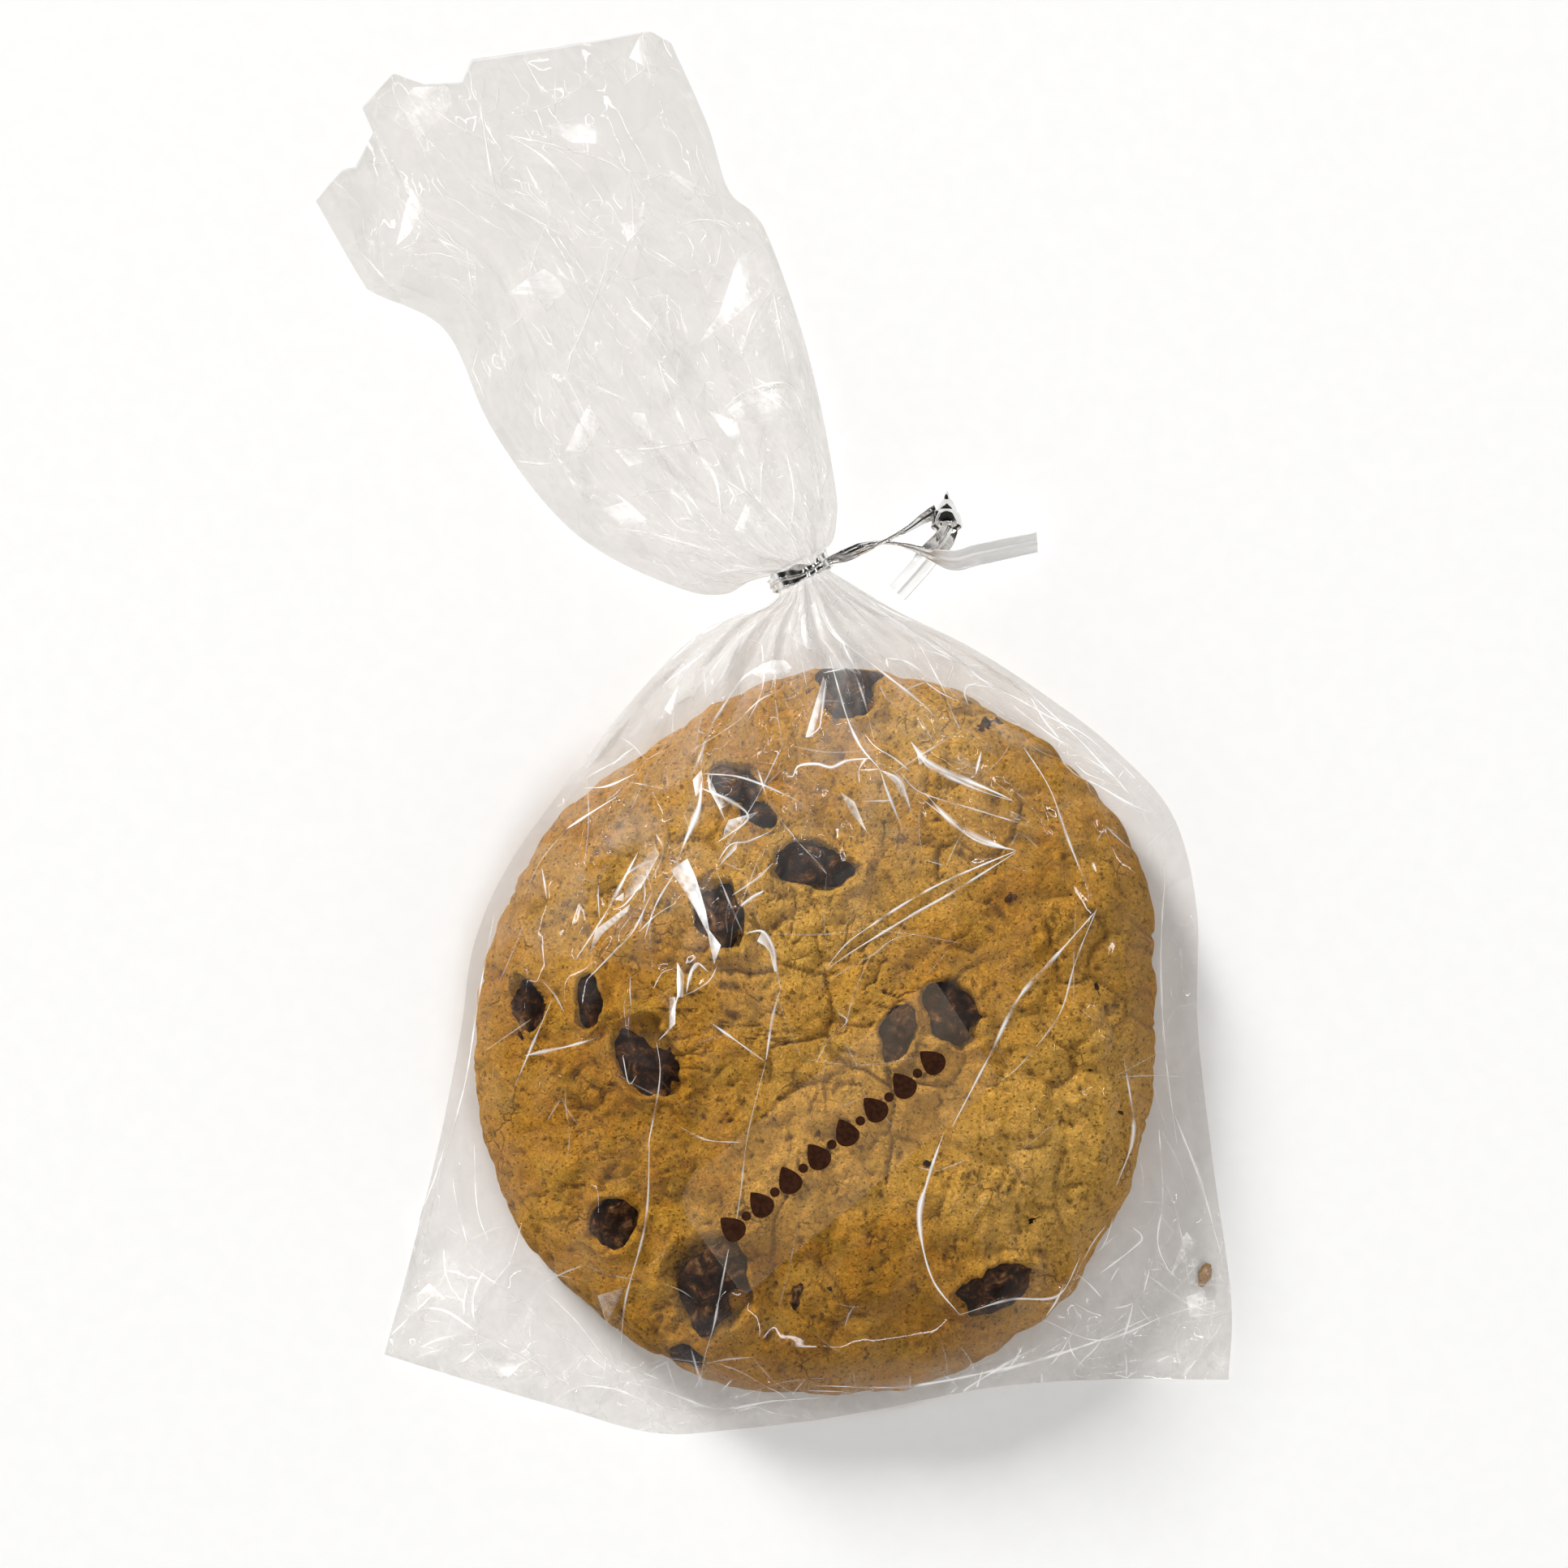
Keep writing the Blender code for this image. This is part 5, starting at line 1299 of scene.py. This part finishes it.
def make_label(over, finish):
    """Make the label: a thin clear plate that lies on the film."""
    corners = np.asarray(LABEL_CORNERS)
    length = np.linalg.norm(corners[1] - corners[0])
    width = np.linalg.norm(corners[3] - corners[0])
    columns, rows = LABEL_GRID
    u, v = np.meshgrid(np.linspace(0, 1, columns), np.linspace(0, 1, rows))
    u, v = rounded(u, v, length, width)
    place = label_place(u, v)
    level = heights(over, place[..., 0], place[..., 1])
    smooth = level.copy()
    for _ in range(LABEL_PASSES):
        inner = np.pad(smooth, 1, mode="edge")
        mean = (inner[:-2, 1:-1] + inner[2:, 1:-1] + inner[1:-1, :-2] + inner[1:-1, 2:]) / 4
        smooth = np.maximum(mean, level)
    smooth = smooth + LABEL_GAP
    upper = np.dstack([place, smooth + LABEL_THICKNESS]).reshape(-1, 3)
    lower = np.dstack([place, smooth]).reshape(-1, 3)
    count = rows * columns
    faces = grid_faces(rows, columns)
    ring = list(range(columns))
    ring += [row * columns + columns - 1 for row in range(1, rows)]
    ring += [(rows - 1) * columns + column for column in range(columns - 2, -1, -1)]
    ring += [row * columns for row in range(rows - 2, 0, -1)]
    wall = [(here, following, following + count, here + count)
            for here, following in zip(ring, ring[1:] + ring[:1])]
    faces = [tuple(face[::-1]) for face in faces] + [tuple(face + count) for face in faces]
    faces += [tuple(side[::-1]) for side in wall]
    piece = make_piece("label_film", np.vstack([lower, upper]), faces, finish, "clear_label")
    piece.visible_shadow = False
    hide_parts("label")
    return piece


def mark_outline(kind, count=28):
    """Return the outline of one printed mark about 1 high: a drop or a dot."""
    turn = np.linspace(0, 2 * math.pi, count, endpoint=False)
    if kind == "dot":
        return np.column_stack([0.16 * np.cos(turn), 0.16 * np.sin(turn)])
    lift = np.sin(turn)
    wide = np.where(lift > 0, np.sign(np.cos(turn)) * (1 - lift**1.4) ** 0.8, np.cos(turn))
    return np.column_stack([0.40 * wide, np.where(lift > 0, 0.62 * lift, 0.34 * lift) - 0.12])


def make_print(over, finish):
    """Make the row of brown drops and dots on the label."""
    parts = []
    rng = np.random.default_rng(5)
    corners = np.asarray(LABEL_CORNERS)
    ahead = (corners[1] - corners[0]) / np.linalg.norm(corners[1] - corners[0])
    up = np.array((-ahead[1], ahead[0]))
    for step in range(PRINT_MARKS):
        kind = "drop" if step % 2 == 0 else "dot"
        share = step / (PRINT_MARKS - 1)
        u = PRINT_START[0] + share * (PRINT_END[0] - PRINT_START[0])
        middle = label_place(u, PRINT_START[1])
        lean = rng.uniform(-0.25, 0.25)
        outline = mark_outline(kind) * PRINT_HEIGHT
        spun = outline @ np.array(((math.cos(lean), math.sin(lean)), (-math.sin(lean), math.cos(lean))))
        points = []
        for scale in PRINT_RINGS:
            place = middle + scale * spun @ np.array((ahead, up))
            level = heights(over, place[:, 0], place[:, 1]) + PRINT_THICKNESS
            points += list(np.column_stack([place, level]))
        faces = [tuple(face) for face in grid_faces(len(PRINT_RINGS), len(spun), ring=True)[:, ::-1]]
        parts.append((points, [*faces, tuple(range(len(spun)))]))
    return make_piece("label_print", *join(parts), finish, "label_print")


# The tie

def sweep(centres, sides, section, widths, closed=False):
    """Carry a section along a path and return points and faces. Sides point along its width."""
    centres = np.asarray(centres, float)
    sides = np.asarray(sides, float)
    if closed:
        ahead = np.roll(centres, -1, axis=0) - np.roll(centres, 1, axis=0)
    else:
        ahead = np.gradient(centres, axis=0)
    ahead /= np.linalg.norm(ahead, axis=1)[:, None]
    sides = sides - (sides * ahead).sum(axis=1)[:, None] * ahead
    sides /= np.linalg.norm(sides, axis=1)[:, None]
    ups = np.cross(ahead, sides)
    sides = sides * np.asarray(widths)[:, None]
    section = np.asarray(section)
    points = (centres[:, None] + sides[:, None] * section[None, :, 0, None]
              + ups[:, None] * section[None, :, 1, None])
    count, size = points.shape[:2]
    points = points.reshape(-1, 3)
    faces = [tuple(face) for face in grid_faces(count, size, ring=True)]
    if closed:
        last = (count - 1) * size
        for corner in range(size):
            after = (corner + 1) % size
            faces.append((last + corner, last + after, after, corner))
    else:
        faces.append(tuple(reversed(range(size))))
        faces.append(tuple((count - 1) * size + corner for corner in range(size)))
    return points, faces


def strip_section(width, thickness, wire):
    """Return a foil strip's section: thin and flat, with a rib at the middle and one at each edge."""
    half = width / 2
    thick = thickness / 2
    over = []
    for share in np.linspace(-1, 1, 25):
        middle = wire * math.sqrt(max(0.0, 1 - (share / 0.2) ** 2))
        rib = 0.5 * wire * math.sqrt(max(0.0, 1 - ((abs(share) - 0.93) / 0.07) ** 2))
        over.append((share * half, max(thick, middle, rib)))
    under = [(across, -lift) for across, lift in reversed(over)]
    return under + over


def collar_path():
    """Return the collar's ring: places, width directions and widths."""
    across = np.array((*THROAT_ACROSS, 0.0))
    ahead = np.array((*THROAT_AHEAD, 0.0))
    up = np.array((0.0, 0.0, 1.0))
    middle = np.array((*THROAT_CENTRE, THROAT_LEVEL))
    turns = np.linspace(0, 2 * math.pi, 120, endpoint=False)[:, None]
    reach = COLLAR_GAP + 0.2
    crinkle = 1 + 0.02 * np.sin(9 * turns) + 0.015 * np.sin(17 * turns + 1)
    ring = middle + crinkle * (THROAT_HALF_WIDTH + reach) * np.cos(turns) * across
    ring = ring + crinkle * (THROAT_HALF_DEPTH + reach) * np.sin(turns) * up
    ring = ring + 0.35 * np.sin(3 * turns + 0.5) * ahead
    sides = ahead + 0.35 * np.sin(4 * turns) * up * np.cos(turns)
    widths = 0.58 + 0.16 * np.sin(3 * turns[:, 0] + 1) + 0.07 * np.sin(11 * turns[:, 0])
    return ring, sides, widths


def turned_cone():
    """Return the points and faces of the strip's end, wound into a pointed cone of two turns."""
    axis = np.asarray(CONE_AXIS) / np.linalg.norm(CONE_AXIS)
    right = np.array((1.0, 0.0, 0.0))
    up = np.cross(right, axis)
    angles = np.linspace(0, 2 * math.pi, CONE_SIDES, endpoint=False)
    rings = []
    for along, radius in CONE_PROFILE:
        spiral = along + 0.25 * angles / (2 * math.pi)
        ring = np.asarray(CONE_TIP) + spiral[:, None] * axis
        rings.append(ring + radius * (np.cos(angles)[:, None] * right + np.sin(angles)[:, None] * up))
    faces = [tuple(face) for face in grid_faces(len(rings), CONE_SIDES, ring=True)]
    last = (len(rings) - 1) * CONE_SIDES
    faces.append(tuple(reversed(range(CONE_SIDES))))
    faces.append(tuple(last + side for side in range(CONE_SIDES)))
    return np.vstack(rings), faces


def make_tie(finish):
    """Make the twist tie: a collar, two strands that start wound together, and a cone."""
    wired = strip_section(STRIP_WIDTH, STRIP_THICKNESS, WIRE_RADIUS)
    ring, sides, widths = collar_path()
    parts = [sweep(ring, sides, wired, widths, closed=True)]
    for strand in (STRAND_TO_CONE, STRAND_FROM_CONE, STRAND_STRAIGHT):
        path = smooth_line(strand, 150)
        parts.append(sweep(path[:, :3], path[:, 3:6], wired, path[:, 6]))
    for step, (points, faces) in enumerate(parts):
        dent = [noise.noise(Vector(point) * 0.9) for point in points]
        parts[step] = (points + 0.06 * np.asarray(dent)[:, None], faces)
    parts.append(turned_cone())
    # The free ends are painted whiter, a painted reflection of the bright foil
    pale = [np.zeros(len(points)) for points, _ in parts]
    pale[2] = ease(parts[2][0][:, 1], 26.8, 25.2)
    pale[3] = ease(parts[3][0][:, 0], 22.5, 25.0)
    piece = make_piece("tie_strip", *join(parts), finish, "silver_strip")
    store(piece, pale=np.concatenate(pale))
    piece.visible_shadow = False
    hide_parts("tie")
    return piece


# Materials

class Nodes:
    """Builds the node tree of a material, or of the world, in short steps."""

    def __init__(self, name, world=False):
        self.owner = (bpy.data.worlds if world else bpy.data.materials).new(name)
        self.owner.use_nodes = True
        self.tree = self.owner.node_tree
        self.tree.nodes.clear()
        self.place = self.add("ShaderNodeTexCoord").outputs["Generated" if world else "Object"]

    def add(self, kind, **values):
        node = self.tree.nodes.new(kind)
        for key, value in values.items():
            setattr(node, key, value)
        return node

    def link(self, start, end):
        self.tree.links.new(start, end)

    def put(self, socket, value):
        if isinstance(value, bpy.types.NodeSocket):
            self.link(value, socket)
        else:
            socket.default_value = value

    def noise(self, scale, detail=3.0, roughness=0.55, distortion=0.0):
        node = self.add("ShaderNodeTexNoise")
        self.link(self.place, node.inputs["Vector"])
        node.inputs["Scale"].default_value = scale
        node.inputs["Detail"].default_value = detail
        node.inputs["Roughness"].default_value = roughness
        node.inputs["Distortion"].default_value = distortion
        return node.outputs["Fac"]

    def voronoi(self, scale, feature, bend):
        """Return the distance to scattered cells, on places bent by a fine noise."""
        warp = self.add("ShaderNodeTexNoise")
        self.link(self.place, warp.inputs["Vector"])
        warp.inputs["Scale"].default_value = scale
        bent = self.add("ShaderNodeVectorMath", operation="MULTIPLY_ADD")
        self.link(warp.outputs["Color"], bent.inputs[0])
        bent.inputs[1].default_value = (bend, bend, bend)
        self.link(self.place, bent.inputs[2])
        node = self.add("ShaderNodeTexVoronoi", feature=feature)
        self.link(bent.outputs["Vector"], node.inputs["Vector"])
        node.inputs["Scale"].default_value = scale
        return node.outputs["Distance"]

    def ramp(self, value, stops):
        node = self.add("ShaderNodeValToRGB")
        self.put(node.inputs["Fac"], value)
        ramp = node.color_ramp
        while len(ramp.elements) < len(stops):
            ramp.elements.new(0.5)
        for element, (place, colour) in zip(ramp.elements, stops):
            element.position = place
            element.color = (*colour, 1.0)
        return node.outputs["Color"]

    def band(self, value, low, high, first=0.0, last=1.0):
        """Turn values from low to high into values from first to last."""
        node = self.add("ShaderNodeMapRange")
        self.put(node.inputs["Value"], value)
        for key, limit in (("From Min", low), ("From Max", high), ("To Min", first), ("To Max", last)):
            node.inputs[key].default_value = limit
        return node.outputs["Result"]

    def mix(self, share, first, second, blend="MIX"):
        node = self.add("ShaderNodeMix", data_type="RGBA", blend_type=blend)
        self.put(node.inputs["Factor"], share)
        self.put(node.inputs["A"], first)
        self.put(node.inputs["B"], second)
        return node.outputs["Result"]

    def tinge(self, colour, where, share, tint):
        """Turn a colour towards a tint where a value says so, by a share at most."""
        return self.mix(self.math("MULTIPLY", where, share), colour, (*tint, 1.0))

    def math(self, operation, first, second):
        node = self.add("ShaderNodeMath", operation=operation)
        self.put(node.inputs[0], first)
        self.put(node.inputs[1], second)
        return node.outputs["Value"]

    def attribute(self, name):
        return self.add("ShaderNodeAttribute", attribute_name=name).outputs["Fac"]

    def bump(self, height, strength, distance):
        node = self.add("ShaderNodeBump")
        node.inputs["Strength"].default_value = strength
        node.inputs["Distance"].default_value = distance
        self.put(node.inputs["Height"], height)
        return node.outputs["Normal"]

    def principled(self, **values):
        node = self.add("ShaderNodeBsdfPrincipled")
        for key, value in values.items():
            self.put(node.inputs[key.replace("_", " ")], value)
        return node.outputs["BSDF"]

    def finish(self, surface, output="ShaderNodeOutputMaterial"):
        self.link(surface, self.add(output).inputs["Surface"])
        return self.owner


def dough_material():
    """Golden dough: softly mottled, orange at its rim, with dark pits and short curved cracks. Their
    darkness, and that of its seams and small specks, is painted shade in the hollows; its grain carries
    painted highlight and shade; its paler spots are partly painted light.
    """
    n = Nodes("dough")
    colour = n.ramp(n.noise(55.0, 3.0, 0.5, 0.6), (
        (0.34, (0.490, 0.205, 0.017)),
        (0.50, (0.610, 0.286, 0.030)),
        (0.66, (0.700, 0.362, 0.056)),
    ))
    colour = n.tinge(colour, n.attribute("toasted"), 0.5, (0.36, 0.180, 0.024))
    khaki = n.band(n.noise(210.0, 3.0, 0.6, 1.0), 0.43, 0.70)
    colour = n.tinge(colour, khaki, 0.6, (0.470, 0.276, 0.036))
    # Paler spots: partly paler dough, partly painted light on the right, the lower right and under the label
    colour = n.tinge(colour, n.attribute("pale"), 0.85, (0.93, 0.55, 0.120))
    # The grain lightens its crests and darkens its hollows as its bump raises and sinks them: painted
    # highlight and shade
    grain = n.noise(1300.0, 5.0, 0.75, 1.5)
    shade = n.ramp(grain, ((0.34, (0.48, 0.43, 0.34)), (0.50, (1.0, 1.0, 1.0)), (0.68, (1.42, 1.40, 1.36))))
    colour = n.mix(0.9, colour, shade, "MULTIPLY")
    colour = n.tinge(colour, n.attribute("rim"), 0.25, (0.52, 0.235, 0.030))
    # Seams, dashes and dots darken where the bump sinks them: painted shade in small hollows
    seam = n.band(n.voronoi(420.0, "DISTANCE_TO_EDGE", 0.0022), 0.07, 0.015)
    seam = n.math("MULTIPLY", seam, n.band(n.noise(190.0, 2.0, 0.5, 0.5), 0.58, 0.66))
    colour = n.tinge(colour, seam, 0.6, (0.19, 0.080, 0.012))
    # Painted shade in the pores and cracks
    colour = n.tinge(colour, n.attribute("pores"), 0.8, (0.13, 0.055, 0.010))
    patchy = n.band(n.noise(120.0, 2.0, 0.5, 0.5), 0.38, 0.56)
    dash_pits_and_shade = n.math("MULTIPLY", n.band(n.voronoi(640.0, "F1", 0.0011), 0.24, 0.15), patchy)
    colour = n.tinge(colour, dash_pits_and_shade, 0.6, (0.130, 0.062, 0.014))
    dot_pits_and_shade = n.band(n.voronoi(1150.0, "F1", 0.0004), 0.22, 0.13)
    colour = n.tinge(colour, dot_pits_and_shade, 0.55, (0.115, 0.052, 0.012))
    height = n.math("SUBTRACT", grain, n.math("MULTIPLY", seam, 0.6))
    height = n.math("SUBTRACT", height, n.math("MULTIPLY", n.math("MAXIMUM", dot_pits_and_shade, dash_pits_and_shade), 0.6))
    normal = n.bump(height, 0.9, 0.0008)
    shader = n.principled(Base_Color=colour, Roughness=0.8, Specular_IOR_Level=0.1, Normal=normal)
    return n.finish(shader)


def chocolate_material():
    """Dark chocolate with a soft shine and a dusty, scuffed face; its lightest patches are partly dust and
    partly painted highlight.
    """
    n = Nodes("dark_chocolate")
    dust_and_painted_highlight = n.noise(420.0, 5.0, 0.65, 0.8)
    # The lightest stops are partly dust and partly painted highlight
    colour = n.ramp(dust_and_painted_highlight, (
        (0.38, (0.013, 0.0042, 0.0015)),
        (0.49, (0.038, 0.0130, 0.0040)),
        (0.59, (0.140, 0.056, 0.0170)),
        (0.67, (0.300, 0.165, 0.0700)),
    ))
    roughness = n.band(dust_and_painted_highlight, 0.1, 1.0)
    normal = n.bump(n.noise(900.0, 5.0, 0.7, 1.0), 1.0, 0.0012)
    shader = n.principled(Base_Color=colour, Roughness=roughness, Specular_IOR_Level=0.14, Normal=normal)
    return n.finish(shader)


def clear_material(name, tint, milk_tone, haze, sheen, roughness, fields=False):
    """A thin clear sheet: it lets light through, hazes it a little, and shines at its facets.

    With fields, the haze and the whiteness kept on the piece's points are added; the haze is partly painted
    facet shade and the whiteness partly painted highlight.
    """
    n = Nodes(name)
    facing = n.add("ShaderNodeLayerWeight")
    facing.inputs["Blend"].default_value = 0.5
    see = n.add("ShaderNodeBsdfTransparent")
    deep = tuple(part * 0.8 for part in tint)
    through = n.ramp(facing.outputs["Facing"], ((0.4, tint), (0.95, deep)))
    milk = n.add("ShaderNodeBsdfDiffuse")
    milk.inputs["Color"].default_value = (*milk_tone, 1.0)
    gloss = n.add("ShaderNodeBsdfGlossy")
    gloss.inputs["Roughness"].default_value = roughness
    gloss.inputs["Color"].default_value = (1.0, 1.0, 1.0, 1.0)
    hazed = n.add("ShaderNodeMixShader")
    if fields:
        cloudy = n.attribute("haze")
        # Haze darkens what shows through; part of it is painted facet shade
        through = n.tinge(through, cloudy, 0.75, (0.70, 0.685, 0.67))
        # The white kept on the points, partly painted highlight, turns the sheet milky white
        amount = n.math("ADD", n.math("MULTIPLY", cloudy, 0.8), n.attribute("white"))
        amount = n.math("MINIMUM", n.math("ADD", amount, haze), 0.95)
        n.link(amount, hazed.inputs["Fac"])
    else:
        hazed.inputs["Fac"].default_value = haze
    n.link(through, see.inputs["Color"])
    n.link(see.outputs["BSDF"], hazed.inputs[1])
    n.link(milk.outputs["BSDF"], hazed.inputs[2])
    steep = n.math("POWER", facing.outputs["Facing"], 4.0)
    amount = n.math("ADD", n.math("MULTIPLY", steep, 1.0 - sheen), sheen)
    surface = n.add("ShaderNodeMixShader")
    n.link(amount, surface.inputs["Fac"])
    n.link(hazed.outputs["Shader"], surface.inputs[1])
    n.link(gloss.outputs["BSDF"], surface.inputs[2])
    return n.finish(surface.outputs["Shader"])


def print_material():
    """Matt brown print, a little uneven."""
    n = Nodes("brown_print")
    colour = n.ramp(n.noise(1500.0, 2.0), (
        (0.35, (0.026, 0.009, 0.0045)),
        (0.65, (0.046, 0.017, 0.0085)),
    ))
    return n.finish(n.principled(Base_Color=colour, Roughness=0.9, Specular_IOR_Level=0.1))


def foil_material():
    """Bright silver foil with fine creases. Its whitened free ends are white face-on and grey at the flanks:
    a painted reflection and shade.
    """
    n = Nodes("silver_foil")
    colour = n.ramp(n.noise(700.0, 2.0), (
        (0.3, (0.72, 0.71, 0.69)),
        (0.7, (0.86, 0.85, 0.84)),
    ))
    normal = n.bump(n.noise(1100.0, 2.0, 0.6, 1.0), 0.12, 0.0001)
    bright = n.principled(Base_Color=colour, Metallic=1.0, Roughness=0.08, Normal=normal)
    flank = n.add("ShaderNodeLayerWeight")
    # Whiter face-on and greyer at the flanks: painted reflection and shade
    white = n.ramp(flank.outputs["Facing"], ((0.30, (0.88, 0.87, 0.86)), (0.75, (0.42, 0.41, 0.40))))
    clear = n.principled(Base_Color=white, Roughness=0.15)
    both = n.add("ShaderNodeMixShader")
    n.link(n.math("MULTIPLY", n.attribute("pale"), 0.85), both.inputs["Fac"])
    n.link(bright, both.inputs[1])
    n.link(clear, both.inputs[2])
    return n.finish(both.outputs["Shader"])


# The stage

def floor_material():
    """Plain white paper, very slightly grained."""
    n = Nodes("white_floor")
    colour = n.ramp(n.noise(300.0, 2.0), ((0.4, (0.90, 0.90, 0.90)), (0.6, (0.91, 0.91, 0.91))))
    return n.finish(n.principled(Base_Color=colour, Roughness=0.9))


def make_floor():
    """Make the pale floor under the bag."""
    mesh = bpy.data.meshes.new("floor")
    signs = ((-1, -1), (1, -1), (1, 1), (-1, 1))
    corners = [Vector((x * FLOOR_HALF, y * FLOOR_HALF, FLOOR_LEVEL)) * MM for x, y in signs]
    mesh.from_pydata(corners, [], [(0, 1, 2, 3)])
    mesh.materials.append(floor_material())
    floor = bpy.data.objects.new("floor", mesh)
    bpy.context.scene.collection.objects.link(floor)


def softbox(name, turn, lift, width, height, radiance, mirrored):
    """Hang a soft light in metres at a turn round +Z and a lift above the ground, both in degrees."""
    turn = math.radians(turn)
    lift = math.radians(lift)
    light = bpy.data.lights.new(name, "AREA")
    light.shape = "RECTANGLE"
    light.size = width
    light.size_y = height
    light.energy = radiance * math.pi * width * height
    light.color = LIGHT_TINT
    lamp = bpy.data.objects.new(name, light)
    lamp.visible_glossy = mirrored
    bpy.context.scene.collection.objects.link(lamp)
    out = Vector((math.cos(turn) * math.cos(lift), math.sin(turn) * math.cos(lift), math.sin(lift)))
    lamp.location = out * LIGHT_DISTANCE
    lamp.rotation_euler = out.to_track_quat("Z", "Y").to_euler()


def make_lights():
    """A key from the upper left, narrow lights for the film's creases, and a soft surround."""
    for lamp in LAMPS:
        softbox(*lamp)
    n = Nodes("surround", world=True)
    split = n.add("ShaderNodeSeparateXYZ")
    n.link(n.place, split.inputs["Vector"])
    light = n.ramp(split.outputs["Z"], [(spot, (grey, grey, grey * 0.99)) for spot, grey in SURROUND])
    dark = n.band(split.outputs["Y"], 0.35, 0.65, 1.0, 0.04)
    back = n.add("ShaderNodeBackground")
    n.link(n.mix(1.0, light, dark, "MULTIPLY"), back.inputs["Color"])
    back.inputs["Strength"].default_value = SURROUND_STRENGTH
    bpy.context.scene.world = n.finish(back.outputs["Background"], "ShaderNodeOutputWorld")


def make_camera():
    """Look straight down, with the photograph's width in view."""
    camera = bpy.data.cameras.new("camera")
    camera.sensor_width = SENSOR
    camera.lens = SENSOR * (CAMERA_HEIGHT - VIEW_LEVEL) / VIEW_WIDTH
    camera.clip_start = 0.01
    eye = bpy.data.objects.new("camera", camera)
    bpy.context.scene.collection.objects.link(eye)
    eye.location = Vector((*VIEW_MIDDLE, CAMERA_HEIGHT)) * MM
    bpy.context.scene.camera = eye


def main():
    """Build the looks round the frame."""
    scene = bpy.context.scene
    scene.view_settings.view_transform = "Standard"
    scene.view_settings.look = "None"
    scene.cycles.transparent_max_bounces = 32
    make_camera()

    dough = dough_material()
    cookie = make_cookie(dough)
    chips = make_chips(chocolate_material())
    crumb = make_crumb(dough)
    for piece in (cookie, chips, crumb):
        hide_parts("bag")
    contents = tree_of(cookie, chips, crumb)
    solid = tree_of(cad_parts["bag"])
    film = clear_material("clear_film", *FILM_LOOK, fields=True)
    front, folds = body_sheet("film_front", FRONT_GRID, solid, True, 400, film, over=contents)
    body_sheet("film_back", BACK_GRID, solid, False, 500, film)
    tail, tail_folds = tail_sheet("film_tail_front", TAIL_GRID, solid, True, 600, film)
    tail_sheet("film_tail_back", TAIL_BACK_GRID, solid, False, 700, film)
    crease = clear_material("film_crease_highlight", *CREASE_HIGHLIGHT_LOOK, fields=True)
    # The white patches are painted highlights; the creases' white is partly stress whitening and partly
    # painted highlight
    for name, sheet, lines, highlight_shards in (
        ("body", front, (*CREASES, *folds), PAINTED_HIGHLIGHT_SHARDS),
        ("tail", tail, (*TAIL_CREASES, *tail_folds), TAIL_PAINTED_HIGHLIGHT_SHARDS),
    ):
        over = tree_of(sheet)
        make_creases(name + "_creases", over, lines, crease)
        make_highlight_shards(name + "_shards", over, highlight_shards, crease)

    label = make_label(tree_of(front), clear_material("clear_label", *LABEL_LOOK))
    make_print(tree_of(label), print_material())
    make_tie(foil_material())
    make_floor()
    make_lights()


main()
